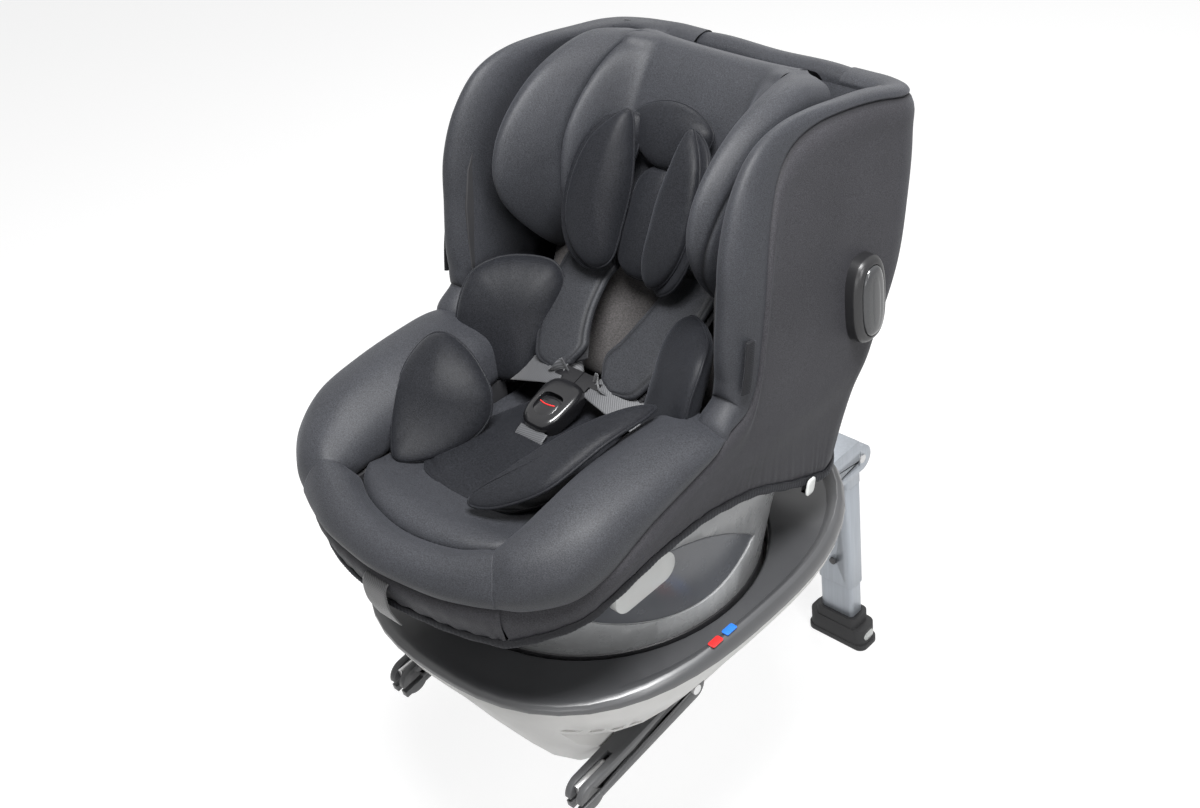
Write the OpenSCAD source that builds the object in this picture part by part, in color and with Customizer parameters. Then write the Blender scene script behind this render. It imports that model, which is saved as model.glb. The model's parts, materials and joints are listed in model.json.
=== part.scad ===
// Child car seat on a turning base, with a support leg and anchor arms.
// Sizes in mm. X is across, the seat faces -Y, Z is up.
// The turning axis is X = Y = 0 and the base underside is Z = 0.

/* [Base] */
// Half width of the tray rim
tray_half_w = 228; // [215:250]
// Half length of the tray rim
tray_half_l = 268; // [255:300]
// Centre of the rim behind the turning axis
tray_shift = 15; // [5:30]
// Height of the tub up to the tray
tub_h = 160; // [150:180]
// Half width of the underside
tub_foot_w = 118; // [112:122]
// Front edge of the underside, ahead of the axis
tub_foot_front = 166; // [150:185]
// Rear edge of the underside, behind the axis
tub_foot_rear = 285; // [270:300]
// Height of the raised lip at the tray sides
lip_h = 10; // [6:14]

/* [Turntable] */
// Radius of the turning plate
turn_r = 181; // [178:184]
// Thickness of the turning plate
turn_t = 26; // [20:30]
// Radius of the hub post
hub_r = 30; // [24:36]
// Running clearance on round fits
run_clear = 0.06; // [0.03:0.01:0.09]
// Half width of the bowl at its cheeks
bowl_half_w = 185.5; // [184.5:0.5:186]
// Front reach of the bowl
bowl_front = 238; // [230:244]
// Rear reach of the bowl
bowl_rear = 205; // [200:210]
// Wall of the bowl
bowl_wall = 4.5; // [3.5:0.5:5]

/* [Recline] */
// Recline axis ahead of the turning axis
recline_y = -10; // [-14:-6]
// Height of the recline axis
recline_z = 425; // [422:428]
// Radius of the curved rails
rail_r = 250; // [248:252]
// Half length of the rails
rail_half = 112; // [100:114]

/* [Anchor arms] */
// Distance between the two arms
arm_span = 280; // [278:282]
// Width of an arm
arm_w = 24; // [20:26]
// Height of an arm
arm_h = 32; // [28:34]
// Reach of an arm from its pivot
arm_reach = 185; // [175:195]
// Nose-down tilt of an arm
arm_tilt = 6.7; // [5:0.1:8]
// Pivot ahead of the turning axis
arm_pivot_y = -30; // [-34:-26]
// Height of the pivot
arm_pivot_z = 50; // [49:52]
// Radius of the pivot shaft
shaft_r = 6; // [5:6]
// Opening for a 6 mm anchor bar
jaw_gap = 7; // [6.6:0.1:7.4]

/* [Support leg] */
// Leg axis behind the turning axis
leg_y = 430; // [425:435]
// Height of the folding pin
leg_pin_z = 21; // [21:0.5:22]
// Radius of the folding pin
leg_pin_r = 6; // [5:7]
// Width of the upper tube
leg_w = 58; // [54:58]
// Depth of the upper tube
leg_d = 30; // [28:32]
// Tube wall
leg_wall = 2; // [1.5:0.5:2.5]
// Lower end of the upper tube
leg_upper_end = -205; // [-210:-200]
// Underside of the foot
foot_end = -310; // [-314:-306]
// Width of the foot
foot_w = 96; // [90:98]

/* [Seat] */
// Half width of the hard shell
shell_half_w = 175.5; // [175:0.5:176]
// Wall of the hard shell
shell_wall = 5; // [4:6]
// Half width over the padded wings
wing_half_w = 207; // [203:210]
// Top of the wings
wing_top = 658; // [650:665]
// Height of the top edge of the back
back_top = 600; // [590:610]
// Lean of the back rest
back_lean = 30; // [29:31]
// Bight line behind the turning axis
bight_y = 60; // [58:62]
// Height of the bight line
bight_z = 330; // [329:332]
// Half width of the seat pad
pad_half_w = 108; // [100:109]
// Width of the harness webbing
strap_w = 38; // [34:39]
// Thickness of the harness webbing
strap_t = 2; // [1.6:0.2:2.4]

/* [Headrest] */
// Half width over the headrest
head_half_w = 165; // [160:168]
// Lower edge along the back
head_low = 192; // [192:196]
// Upper edge along the back
head_high = 345; // [335:350]
// Reach of the side wings off the back
head_wing = 118; // [105:125]

/* [Draw] */
// Piece to draw, or all

/* [Hidden] */
$fn = 48;
fit = 0.3;
tube_r = 8;
soft_gap = 0.5;
// Tub height that the seat and turntable are drawn on
drawn_h = 160;
seat_lift = tub_h - drawn_h;
pocket_deep = 48;
pocket_floor = drawn_h - pocket_deep;
turn_top = drawn_h + 7;
turn_low = turn_top - turn_t;
arm_x = arm_span / 2;
arm_in = arm_x - arm_w / 2;
slot_in = arm_in - 4;
channel_half = foot_w / 2 + 4;
channel_top = 2 * leg_pin_z + 1;
cheek_half = leg_w / 2 + 13;
leg_out_w = leg_w - 2 * leg_wall;
leg_out_d = leg_d - 2 * leg_wall;
leg_slide_w = leg_out_w - 2 * fit;
leg_slide_d = leg_out_d - 2 * fit;
knuckle_end = -30;
leg_slide_top = -58;
// Floor of the foot's socket and middle of its window
foot_floor = foot_end + 14;
window_z = foot_end + 20;
// Height of the spring button
button_z = leg_upper_end + 40;

// Rear face of the seat by height
back_table = [[209, 214], [244, 228], [357, 280], [441, 329], [514, 349], [587, 363], [660, 366]];
// Front edge of the wings by height
wing_table = [[346, -10], [400, -2], [440, 12], [480, 15], [520, 20], [560, 31], [600, 54], [630, 88],
  [wing_top, 158]];
// Half width over the wings by height, as a share
width_table = [[346, 0.985], [400, 0.995], [480, 1], [560, 0.99], [600, 0.972], [630, 0.95],
  [wing_top, 0.925]];
// Height of the bowl edge by angle from the front
bowl_table = [[0, 200], [30, 203], [38, 232], [46, 266], [60, 300], [90, 322], [108, 302], [126, 262],
  [140, 222], [152, 192], [180, 190]];

function back_at(z) = lookup(z, back_table);
function soft_r(a, b, p, t) = pow(pow(abs(cos(t)) / a, p) + pow(abs(sin(t)) / b, p), -1 / p);
function polar(r, t, z) = [r * cos(t), r * sin(t), z];
function mix(a, b, k) = a * (1 - k) + b * k;
function sum(v, i = 0) = i < len(v) ? v[i] + sum(v, i + 1) : 0;

// Solid through rings of equal count, closed by the first and last ring
module loft(rings) {
  n = len(rings[0]);
  m = len(rings);
  points = [for (r = rings) each r];
  sides = [for (i = [0:m - 2], j = [0:n - 1]) each [
    [i * n + j, (i + 1) * n + j, (i + 1) * n + (j + 1) % n],
    [i * n + j, (i + 1) * n + (j + 1) % n, i * n + (j + 1) % n]]];
  low = [for (j = [0:n - 1]) j];
  high = [for (j = [n - 1:-1:0]) (m - 1) * n + j];
  polyhedron(points, concat(sides, [low], [high]));
}

// Band through rings that closes on its first ring
module ring_loft(rings) {
  n = len(rings[0]);
  m = len(rings);
  points = [for (r = rings) each r];
  sides = [for (i = [0:m - 1], j = [0:n - 1]) each [
    [i * n + j, ((i + 1) % m) * n + j, ((i + 1) % m) * n + (j + 1) % n],
    [i * n + j, ((i + 1) % m) * n + (j + 1) % n, i * n + (j + 1) % n]]];
  polyhedron(points, sides);
}

// Wall between outer and inner lines, one pair for each height
module wall(outs, ins) {
  n = len(outs[0]);
  m = len(outs);
  w = 2 * n;
  points = [for (i = [0:m - 1]) each concat(outs[i], [for (j = [n - 1:-1:0]) ins[i][j]])];
  sides = [for (i = [0:m - 2], j = [0:w - 1]) each [
    [i * w + j, (i + 1) * w + j, (i + 1) * w + (j + 1) % w],
    [i * w + j, (i + 1) * w + (j + 1) % w, i * w + (j + 1) % w]]];
  low = [for (j = [0:n - 2]) each [[j, j + 1, w - 2 - j], [j, w - 2 - j, w - 1 - j]]];
  e = (m - 1) * w;
  high = [for (j = [0:n - 2]) each [
    [e + j, e + w - 2 - j, e + j + 1],
    [e + j, e + w - 1 - j, e + w - 2 - j]]];
  polyhedron(points, concat(sides, low, high));
}

// Cushion between two faces that meet at a rim. front and rear say how far each face swells.
module pillow(rim, front, rear) {
  mid = [for (k = [0:2]) sum([for (p = rim) p[k]]) / len(rim)];
  // Rings of a quarter arc: share of the rim, share of the swell
  near = [0.4, 0.92];
  half = [0.78, 0.63];
  edge = [1, 0];
  function ring(share, swell) = [for (p = rim) mid + share[0] * (p - mid) + share[1] * swell];
  loft([ring(near, front), ring(half, front), ring(edge, front), ring(half, rear), ring(near, rear)]);
}

// Rectangle with round corners
module round_rect(w, h, r) {
  square([w - 2 * r, h], center = true);
  square([w, h - 2 * r], center = true);
  for (x = [-1, 1], y = [-1, 1])
    translate([x * (w / 2 - r), y * (h / 2 - r)]) circle(r = r);
}
module stadium(w, h) {
  round_rect(w, h, min(w, h) / 2 - 0.01);
}

// Extrude a side view, drawn as Y and Z, from x0 to x1
module side_view(x0, x1) {
  translate([x0, 0, 0]) rotate([90, 0, 90]) linear_extrude(height = x1 - x0) children();
}
// Frame of the back rest: X across, Y up along the back, Z off the back
module on_back() {
  translate([0, bight_y, bight_z]) rotate([90 - back_lean, 0, 0]) children();
}
// Band of even thickness along a side-view path
module band(path, t) {
  n = len(path);
  function dir(i) = let (a = path[max(i - 1, 0)], b = path[min(i + 1, n - 1)], d = b - a) d / norm(d);
  left = [for (i = [0:n - 1]) path[i] + t / 2 * [-dir(i)[1], dir(i)[0]]];
  right = [for (i = [n - 1:-1:0]) path[i] - t / 2 * [-dir(i)[1], dir(i)[0]]];
  polygon(concat(left, right));
}
// Everything that stands on the tub
module raised() {
  translate([0, 0, seat_lift]) children();
}
module mirrored() {
  children();
  mirror([1, 0, 0]) children();
}

// Base

function tub_ring(k, z) = [for (i = [0:47])
  let (t = i * 7.5,
    a = mix(tub_foot_w, tray_half_w - 4, k),
    f = mix(tub_foot_front, tray_half_l - tray_shift - 4, k),
    r = mix(tub_foot_rear, tray_half_l + tray_shift - 4, k),
    q = soft_r(a, (f + r) / 2, mix(4.5, 2.55, k), t))
  polar(q, t, z) + [0, (r - f) / 2, 0]];

// Side view of an arm bay, with room for the arm to swing under the base
bay_top = arm_pivot_z + 22;
bay_rear = 180;
module bay() {
  polygon([[-400, -1], [bay_rear, -1], [bay_rear, bay_top], [arm_pivot_y - 22, bay_top],
    [-132, bay_top + 14], [-230, bay_top + 48], [-400, bay_top + 60]]);
}

module base_tub() {
  color([0.8, 0.8, 0.77])
  difference() {
    loft([tub_ring(0, 0), tub_ring(0.05, 6), tub_ring(0.5, tub_h * 0.48), tub_ring(0.9, tub_h * 0.84),
      tub_ring(1, tub_h - 0.2)]);
    translate([0, 0, tub_h - pocket_deep]) cylinder(r = turn_r + 5, h = tub_h);
    translate([-channel_half, arm_pivot_y + 4, -1]) cube([2 * channel_half, 600, channel_top + 1]);
    mirrored() side_view(slot_in, slot_in + 200) bay();
    mirrored() for (i = [0:3]) side_view(slot_in + 4, slot_in + 200)
      translate([-206 + 21 * i, bay_top + 46.5 - 7.6 * i]) rotate(-20) square([15, 6]);
    translate([0, arm_pivot_y, arm_pivot_z]) rotate([0, 90, 0])
      cylinder(r = shaft_r + 0.05, h = 400, center = true);
  }
}

function rim_ring(inset, z0, z1) = [for (i = [0:55])
  let (t = i * 360 / 56,
    k = min(1, max(0, (sin(t) + 0.82) / 0.5)),
    r = soft_r(tray_half_w - inset, tray_half_l - inset, 2.55, t))
  polar(r, t, mix(z0, z1, k)) + [0, tray_shift, 0]];
function round_ring(r, z) = [for (i = [0:55]) polar(r, i * 360 / 56, z)];

module base_tray() {
  z = tub_h;
  color([0.14, 0.15, 0.16])
  ring_loft([rim_ring(0, z, z), rim_ring(0, z + 6, z + 9), rim_ring(3, z + 10, z + 9 + lip_h * 0.7),
    rim_ring(8, z + 12, z + 9 + lip_h), rim_ring(14, z + 12, z + 8 + lip_h * 0.7),
    rim_ring(19, z + 11, z + 8), round_ring(turn_r + 9, z + 7), round_ring(turn_r + 6, z + 4),
    round_ring(turn_r + 6, z), rim_ring(14, z, z)]);
}

module bearing_ring() {
  raised() color([0.6, 0.6, 0.62])
  rotate_extrude()
    translate([turn_r - 43, pocket_floor]) square([36, turn_low - pocket_floor - fit]);
}

module spin_hub() {
  raised() color([0.55, 0.56, 0.58])
  translate([0, 0, pocket_floor]) {
    cylinder(r = hub_r, h = turn_low - pocket_floor + 8);
    cylinder(r = hub_r + 25, h = 8);
  }
}

module isofix_shaft() {
  color([0.6, 0.62, 0.64])
  translate([0, arm_pivot_y, arm_pivot_z]) rotate([0, 90, 0])
    cylinder(r = shaft_r, h = arm_span + arm_w + 8, center = true);
}

module leg_bracket() {
  color([0.32, 0.33, 0.34])
  difference() {
    union() {
      mirrored() side_view(leg_w / 2 + 2, cheek_half) {
        translate([tub_foot_rear - 45, 2]) square([leg_y - tub_foot_rear + 45, channel_top - 2.2]);
        translate([leg_y, leg_pin_z]) circle(r = leg_pin_z - 2);
      }
      mirrored() side_view(leg_w / 2 + 2, channel_half)
        translate([tub_foot_rear - 45, 2]) square([38, channel_top - 2.2]);
      side_view(-cheek_half, cheek_half) translate([tub_foot_rear + 2, channel_top - 0.2])
        square([leg_y - tub_foot_rear - 6, 9]);
    }
    translate([0, leg_y, leg_pin_z]) rotate([0, 90, 0])
      cylinder(r = leg_pin_r + 0.05, h = 200, center = true);
  }
}

module leg_pin() {
  color([0.6, 0.62, 0.64])
  translate([0, leg_y, leg_pin_z]) rotate([0, 90, 0])
    cylinder(r = leg_pin_r, h = 2 * cheek_half + 3, center = true);
}

module orientation_marks() {
  color([0.2, 0.5, 0.85])
  mirrored() for (y = [-58, -36])
    translate([tray_half_w - 11, y, tub_h + 9.2 + lip_h]) linear_extrude(height = 1.2)
      round_rect(9, 16, 2);
}

// Anchor arms

// Frame of an arm: X across, Y along the arm, Z up
module on_arm() {
  translate([arm_x, arm_pivot_y, arm_pivot_z]) rotate([arm_tilt, 0, 0]) mirror([0, 1, 0]) children();
}
jaw_end = arm_reach - 26;
hook_y = arm_reach - 48;
hook_z = 6;
hook_slot = 8;
bar_z = -4;
latch_turn = 22.5;
// Place of the anchor bar in the hook, seen with the hook open
hook_bar = let (u = jaw_end - hook_y, v = bar_z - hook_z)
  [hook_y + u * cos(latch_turn) - v * sin(latch_turn), hook_z + u * sin(latch_turn) + v * cos(latch_turn)];

module arm_right() {
  color([0.2, 0.2, 0.21])
  on_arm() {
    difference() {
      side_view(-arm_w / 2, arm_w / 2) difference() {
        union() {
          circle(r = arm_h / 2);
          translate([0, -arm_h / 2]) square([arm_reach - 18, arm_h]);
          translate([arm_reach - 60, -arm_h / 2]) square([60, arm_h - 18]);
          translate([arm_reach - 18, arm_h / 2 - 18]) circle(r = 18);
        }
        circle(r = shaft_r + run_clear);
        translate([jaw_end, bar_z]) circle(r = jaw_gap / 2);
        translate([jaw_end, bar_z - jaw_gap / 2]) square([60, jaw_gap]);
      }
      translate([-hook_slot / 2, hook_y - 14, bar_z + 0.6]) cube([hook_slot, 100, 2 * arm_h]);
      translate([-hook_slot / 2, jaw_end + 1, -arm_h]) cube([hook_slot, 100, 2 * arm_h]);
    }
    translate([0, hook_y, hook_z]) rotate([0, 90, 0]) cylinder(r = 3, h = 9, center = true);
  }
}
module isofix_arm_right() { arm_right(); }
module isofix_arm_left() { mirror([1, 0, 0]) arm_right(); }

module hook_right() {
  color([0.6, 0.62, 0.64])
  on_arm() side_view(-3, 3) difference() {
    union() {
      translate([hook_y, hook_z]) circle(r = 7);
      translate([hook_y, hook_z - 1.3]) square([39, 9.3]);
      translate([hook_y + 29, hook_z - 5.5]) square([10, 8]);
    }
    translate([hook_y, hook_z]) circle(r = 3 + run_clear);
    translate(hook_bar) circle(r = jaw_gap / 2);
    translate(hook_bar - [jaw_gap / 2, 20]) square([jaw_gap, 20]);
  }
}
module isofix_hook_right() { hook_right(); }
module isofix_hook_left() { mirror([1, 0, 0]) hook_right(); }

module button_right() {
  color([0.25, 0.25, 0.26])
  on_arm() translate([0, 34, arm_h / 2 + fit]) linear_extrude(height = 6) translate([0, 16])
    round_rect(arm_w - 6, 32, 4);
}
module isofix_button_right() { button_right(); }
module isofix_button_left() { mirror([1, 0, 0]) button_right(); }

// Support leg

module leg_knuckle() {
  color([0.2, 0.21, 0.22])
  difference() {
    union() {
      translate([0, leg_y, leg_pin_z]) rotate([0, 90, 0])
        cylinder(r = leg_d / 2 + 2, h = leg_w + 2, center = true);
      translate([0, leg_y, knuckle_end]) linear_extrude(height = leg_pin_z - knuckle_end)
        round_rect(leg_w, leg_d, 6);
      translate([0, leg_y, knuckle_end - 24]) linear_extrude(height = 30)
        round_rect(leg_out_w - 0.2, leg_out_d - 0.2, tube_r - leg_wall - 0.1);
    }
    translate([0, leg_y, leg_pin_z]) rotate([0, 90, 0])
      cylinder(r = leg_pin_r + run_clear, h = 200, center = true);
  }
}

module leg_tube_upper() {
  color([0.62, 0.64, 0.68])
  difference() {
    translate([0, leg_y, leg_upper_end])
      linear_extrude(height = knuckle_end - leg_upper_end) difference() {
        round_rect(leg_w, leg_d, tube_r);
        round_rect(leg_out_w, leg_out_d, tube_r - leg_wall);
      }
    translate([0, leg_y, button_z]) rotate([90, 0, 0]) cylinder(r = 5 + run_clear, h = 60);
  }
}

module leg_button() {
  color([0.15, 0.15, 0.16])
  translate([0, leg_y - leg_d / 2 + 6, button_z]) rotate([90, 0, 0]) cylinder(r = 5, h = 8.5);
}

module leg_tube_lower() {
  color([0.58, 0.6, 0.64])
  difference() {
    translate([0, leg_y, foot_floor]) linear_extrude(height = leg_slide_top - foot_floor) difference() {
      round_rect(leg_slide_w, leg_slide_d, 6);
      round_rect(leg_slide_w - 2 * leg_wall, leg_slide_d - 2 * leg_wall, 4);
    }
    translate([-6, leg_y - leg_d, leg_upper_end + 32]) cube([12, leg_d, 300]);
  }
}

module leg_foot() {
  color([0.1, 0.1, 0.11])
  difference() {
    translate([0, leg_y, foot_end]) {
      linear_extrude(height = 8) round_rect(foot_w, 40, 12);
      translate([0, 0, 8]) linear_extrude(height = 26) round_rect(foot_w - 4, 38, 14);
      translate([0, 0, 34]) linear_extrude(height = 16) round_rect(leg_w + 10, 36, 10);
    }
    translate([0, leg_y, foot_floor]) linear_extrude(height = 60)
      round_rect(leg_slide_w + 0.1, leg_slide_d + 0.1, 6);
    mirrored() side_view(foot_w / 2 - 4, foot_w) translate([leg_y, window_z]) stadium(21, 15);
  }
}

module foot_window() {
  color([0.9, 0.92, 0.92])
  mirrored() side_view(foot_w / 2 - 3.9, foot_w / 2 - 2) translate([leg_y, window_z]) stadium(20.4, 14.4);
}

// Turntable

module turntable() {
  raised() color([0.13, 0.13, 0.14])
  rotate_extrude() polygon([[0, turn_low + 12], [hub_r + run_clear, turn_low + 12],
    [hub_r + run_clear, turn_low - 15], [hub_r + 22, turn_low - 15], [hub_r + 22, turn_low],
    [turn_r, turn_low], [turn_r, turn_top - 3], [turn_r - 3, turn_top], [0, turn_top]]);
}

function from_front(t) = let (d = abs(((t + 90) % 360 + 360) % 360)) min(d, 360 - d);
function bowl_ring(k, inset) = [for (i = [0:63])
  let (t = i * 5.625,
    z = mix(turn_top, lookup(from_front(t), bowl_table), k),
    s = (z - turn_top) / (300 - turn_top),
    wide = soft_r(bowl_half_w, sin(t) < 0 ? bowl_front : bowl_rear, 3.2, t))
  polar(mix(turn_r + 0.5, wide, s) - inset, t, z)];

// Side view of the shallow pocket, between two arcs
pocket_cut = 2;
spin_at = [-115, 286];
module pocket() {
  intersection() {
    translate([-35, 374]) circle(r = 180, $fn = 96);
    translate([-134, 34]) circle(r = 268, $fn = 96);
  }
}

module turntable_bowl() {
  raised() color([0.52, 0.53, 0.52])
  difference() {
    ring_loft([bowl_ring(0, 0), bowl_ring(0.25, 0), bowl_ring(0.5, 0), bowl_ring(0.75, 0), bowl_ring(1, 0),
      bowl_ring(1, bowl_wall), bowl_ring(0.67, bowl_wall), bowl_ring(0.33, bowl_wall),
      bowl_ring(0, bowl_wall + 1)]);
    mirrored() side_view(bowl_half_w - 40, bowl_half_w + 30) translate(spin_at) stadium(87, 35);
    intersection() {
      side_view(-bowl_half_w - 20, bowl_half_w + 20) pocket();
      ring_loft([for (k = [0, 0.25, 0.5, 0.75, 1]) bowl_ring(k, -2),
        for (k = [1, 0.75, 0.5, 0.25, 0]) bowl_ring(k, pocket_cut)]);
    }
  }
}

module recline_rails() {
  raised() color([0.3, 0.3, 0.31])
  mirrored() side_view(95, 125) difference() {
    translate([recline_y - rail_half, turn_top]) square([2 * rail_half, 42]);
    translate([recline_y, recline_z]) circle(r = rail_r, $fn = 96);
  }
}

module spin_right() {
  raised() color([0.9, 0.92, 0.93])
  side_view(bowl_half_w - 8, bowl_half_w + 1.6) translate(spin_at) stadium(85.4, 33.4);
}
module spin_button_right() { spin_right(); }
module spin_button_left() { mirror([1, 0, 0]) spin_right(); }

// Seat shell

pan_top = [[-225, 316], [-60, 286], [150, 286]];
pan_r = rail_r - 0.5;
// Half widths of the pan: between its walls, and over its runners
pan_half = 120;
runner_half = 148;
pan_wall = 5;
// Pins of the strap lever and the recline handle, as Y and Z, with their radii
lever_pin = [-243, 335];
lever_pin_r = 2;
handle_pin = [-233, 302];
handle_pin_r = 2.5;
handle_half = 36;
pan_side = shell_half_w - shell_wall - 0.2;

function pan_slope(y) = lookup(y, [pan_top[0], pan_top[1]]);
module pan_shape(r, rise, y0, y1) {
  intersection() {
    translate([recline_y, recline_z]) circle(r = r, $fn = 96);
    polygon([[y0, 150], [y1, 150], [y1, pan_top[2][1] + rise], [pan_top[1][0], pan_top[1][1] + rise],
      [y0, pan_slope(y0) + rise]]);
  }
}

module seat_pan() {
  raised() color([0.28, 0.28, 0.29])
  difference() {
    union() {
      side_view(-pan_half, pan_half) pan_shape(pan_r, 0, pan_top[0][0], pan_top[2][0]);
      side_view(-runner_half, runner_half) pan_shape(pan_r, 0, -80, 40);
      translate([-pan_side, 140, pan_top[2][1] - 14]) cube([2 * pan_side, 31.5, 14]);
      translate([-pan_side + 8, 20, pan_top[2][1] - 14]) cube([2 * pan_side - 16, 130, 14]);
      mirrored() {
        translate([pan_half - 8, -215, 290]) cube([8, 212, 54]);
        translate([pan_half - 8, -203, 330]) cube([60, 200, 14.7]);
        translate([handle_half + 0.5, handle_pin[0] - 7, handle_pin[1] - 5]) cube([8, 16, 14]);
        translate([handle_half - 5.5, handle_pin[0], handle_pin[1]]) rotate([0, 90, 0])
          cylinder(r = handle_pin_r, h = 10);
        translate([15.5, lever_pin[0] - 6, lever_pin[1] - 22]) cube([6, 26, 27]);
        translate([9.5, lever_pin[0], lever_pin[1]]) rotate([0, 90, 0]) cylinder(r = lever_pin_r, h = 8);
      }
      translate([-21.5, lever_pin[0] - 6, lever_pin[1] - 22]) cube([43, 26, 4]);
    }
    for (cell = [[-114, -56], [-50, 50], [56, 114]])
      side_view(cell[0], cell[1]) pan_shape(pan_r - pan_wall, 1, -212, 142);
  }
}

// Outline of the seat back at a height, from the right front round to the left front
corner_r = 65;
back_crown = 4;
function u_line(w, yf, yb, r, n) = concat(
  [[w, yf], [w, mix(yf, yb - r, 0.5)]],
  [for (i = [0:n]) [w - r + r * cos(90 * i / n), yb - r + r * sin(90 * i / n)]],
  [[0, yb + back_crown]],
  [for (i = [n:-1:0]) [-(w - r + r * cos(90 * i / n)), yb - r + r * sin(90 * i / n)]],
  [[-w, mix(yf, yb - r, 0.5)], [-w, yf]]);
function at_z(line, z) = [for (p = line) [p[0], p[1], z]];

cover_t = 18;
shell_out = cover_t + 1.4;
function shell_front(z) = z < 345 ? 150 : lookup(z, wing_table) + 14;
function shell_line(z, t) = at_z(u_line(shell_half_w - t, shell_front(z), back_at(z) - shell_out - t,
  corner_r - 14 - t, 5), z);
shell_levels = [216, 280, 340, 346, 400, 440, 480, 520, 560, 600, 630];

rib_gap = 44;
rib_t = 4;
rib_h = 11;
rib_levels = [236, 290, 357, 441, 514, 587, 612];

// Space above the back, where the wings run down to its top edge
module above_back() {
  side_view(-300, 300)
    polygon([[205, wing_top + 20], [225, wing_top - 1], [270, wing_top - 9], [305, wing_top - 26],
      [335, wing_top - 48], [352, back_top], [420, back_top], [420, wing_top + 20]]);
}

module back_shell() {
  raised() color([0.24, 0.24, 0.25])
  difference() {
    union() {
      wall([for (z = shell_levels) shell_line(z, 0)], [for (z = shell_levels) shell_line(z, shell_wall)]);
      for (x = [-rib_gap * 1.5, -rib_gap / 2, rib_gap / 2, rib_gap * 1.5])
        side_view(x - rib_t / 2, x + rib_t / 2)
          polygon(concat([for (z = rib_levels) [back_at(z) - shell_out - 1, z]],
            [for (z = [for (i = [len(rib_levels) - 1:-1:0]) rib_levels[i]])
              [back_at(z) - shell_out + rib_h, z]]));
    }
    translate([0, 0, -4]) above_back();
  }
}

module back_frame() {
  raised() color([0.2, 0.2, 0.21])
  on_back() difference() {
    translate([-pan_side, -12, -45]) cube([2 * pan_side, 330, 5]);
    mirrored() translate([17, 184, -50]) cube([46, 60, 20]);
    translate([-60, 40, -50]) cube([120, 90, 20]);
  }
}

// Outer covers

wing_end = 100;
skirt_top = 351.4;
skirt_t = 10.2;
skirt_in = max(bowl_half_w + 2.8, shell_half_w + 12.8);
// Side guard: its place in the side view, its size and its seat in the cover
pod_at = [216, 441];
pod_size = [59, 105];
pod_in = 190;
wing_levels = [350, 400, 440, 480, 520, 560, 600, 630, wing_top];
function wing_out(z) = let (w = wing_half_w * lookup(z, width_table), yb = back_at(z),
    yf = lookup(z, wing_table), r = corner_r, wi = shell_half_w + soft_gap)
  at_z(concat([[mix(wi, w, 0.25), yf - 4], [mix(wi, w, 0.75), yf - 2], [w, yf + 12],
    [w, mix(yf, yb - r, 0.4)]],
    [for (i = [0:5]) [w - r + r * cos(18 * i), yb - r + r * sin(18 * i)]], [[wing_end, yb + 1]]), z);
function wing_in(z) = let (yb = back_at(z), yf = lookup(z, wing_table), r = corner_r - 14,
    wi = shell_half_w + soft_gap)
  at_z(concat([[wi, yf + 2], [wi, yf + 8], [wi, yf + 20], [wi, mix(yf, yb - r, 0.4)]],
    [for (i = [0:5]) [wi - r + r * cos(18 * i), yb - cover_t - r + r * sin(18 * i)]],
    [[wing_end, yb - cover_t]]), z);

module cover_right() {
  raised() color([0.27, 0.26, 0.27])
  difference() {
    union() {
      wall([for (z = wing_levels) wing_out(z)], [for (z = wing_levels) wing_in(z)]);
      side_view(skirt_in, skirt_in + skirt_t)
        polygon([[-192, skirt_top], [-192, 300], [-160, 306], [-112, 311], [-50, 304], [11, 292], [65, 273],
          [133, 236], [190, 214], [205, 240], [222, 300], [240, skirt_top]]);
    }
    side_view(pod_in, 260) translate(pod_at) stadium(pod_size[0] + 3, pod_size[1] + 3);
    above_back();
  }
}
module side_cover_right() { cover_right(); }
module side_cover_left() { mirror([1, 0, 0]) cover_right(); }

// Plan of the front edge, from the middle to the right side
front_line = [[0, -279], [40, -278.5], [80, -275], [115, -266], [145, -250], [168, -230], [184, -212],
  [193, -196]];
thigh_in = pad_half_w + 3;
module thigh_right() {
  raised() color([0.26, 0.26, 0.28])
  intersection() {
    rotate([90, 0, 0]) linear_extrude(height = 270)
      polygon([[thigh_in, 346], [170, 345], [178, 352], [202, 354], [206, 366], [200, 386], [188, 400],
        [168, 408], [146, 404], [128, 390], [thigh_in + 3, 368]]);
    translate([0, 0, 300]) linear_extrude(height = 150)
      polygon(concat([[thigh_in, -22], [thigh_in, -266]], [for (i = [3:7]) front_line[i]],
        [[207, -166], [207, -22]]));
    side_view(90, 220)
      polygon([[-22, 340], [-22, 412], [-130, 412], [-190, 400], [-226, 378], [-250, 358], [-268, 346],
        [-268, 340]]);
  }
}
module thigh_bolster_right() { thigh_right(); }
module thigh_bolster_left() { mirror([1, 0, 0]) thigh_right(); }

module front_panel() {
  outer = front_line;
  inner = [[181, -196], [172, -206], [157, -222], [137, -240], [110, -254], [80, -262], [40, -265],
    [0, -265.5]];
  left_in = [for (i = [6:-1:0]) [-inner[i][0], inner[i][1]]];
  left_out = [for (i = [7:-1:1]) [-outer[i][0], outer[i][1]]];
  raised() color([0.26, 0.26, 0.28])
  difference() {
    translate([0, 0, 274]) linear_extrude(height = 68.7)
      polygon(concat(outer, inner, left_in, left_out));
    translate([-19, -300, 317.5]) cube([38, 60, 7]);
  }
}

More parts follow.
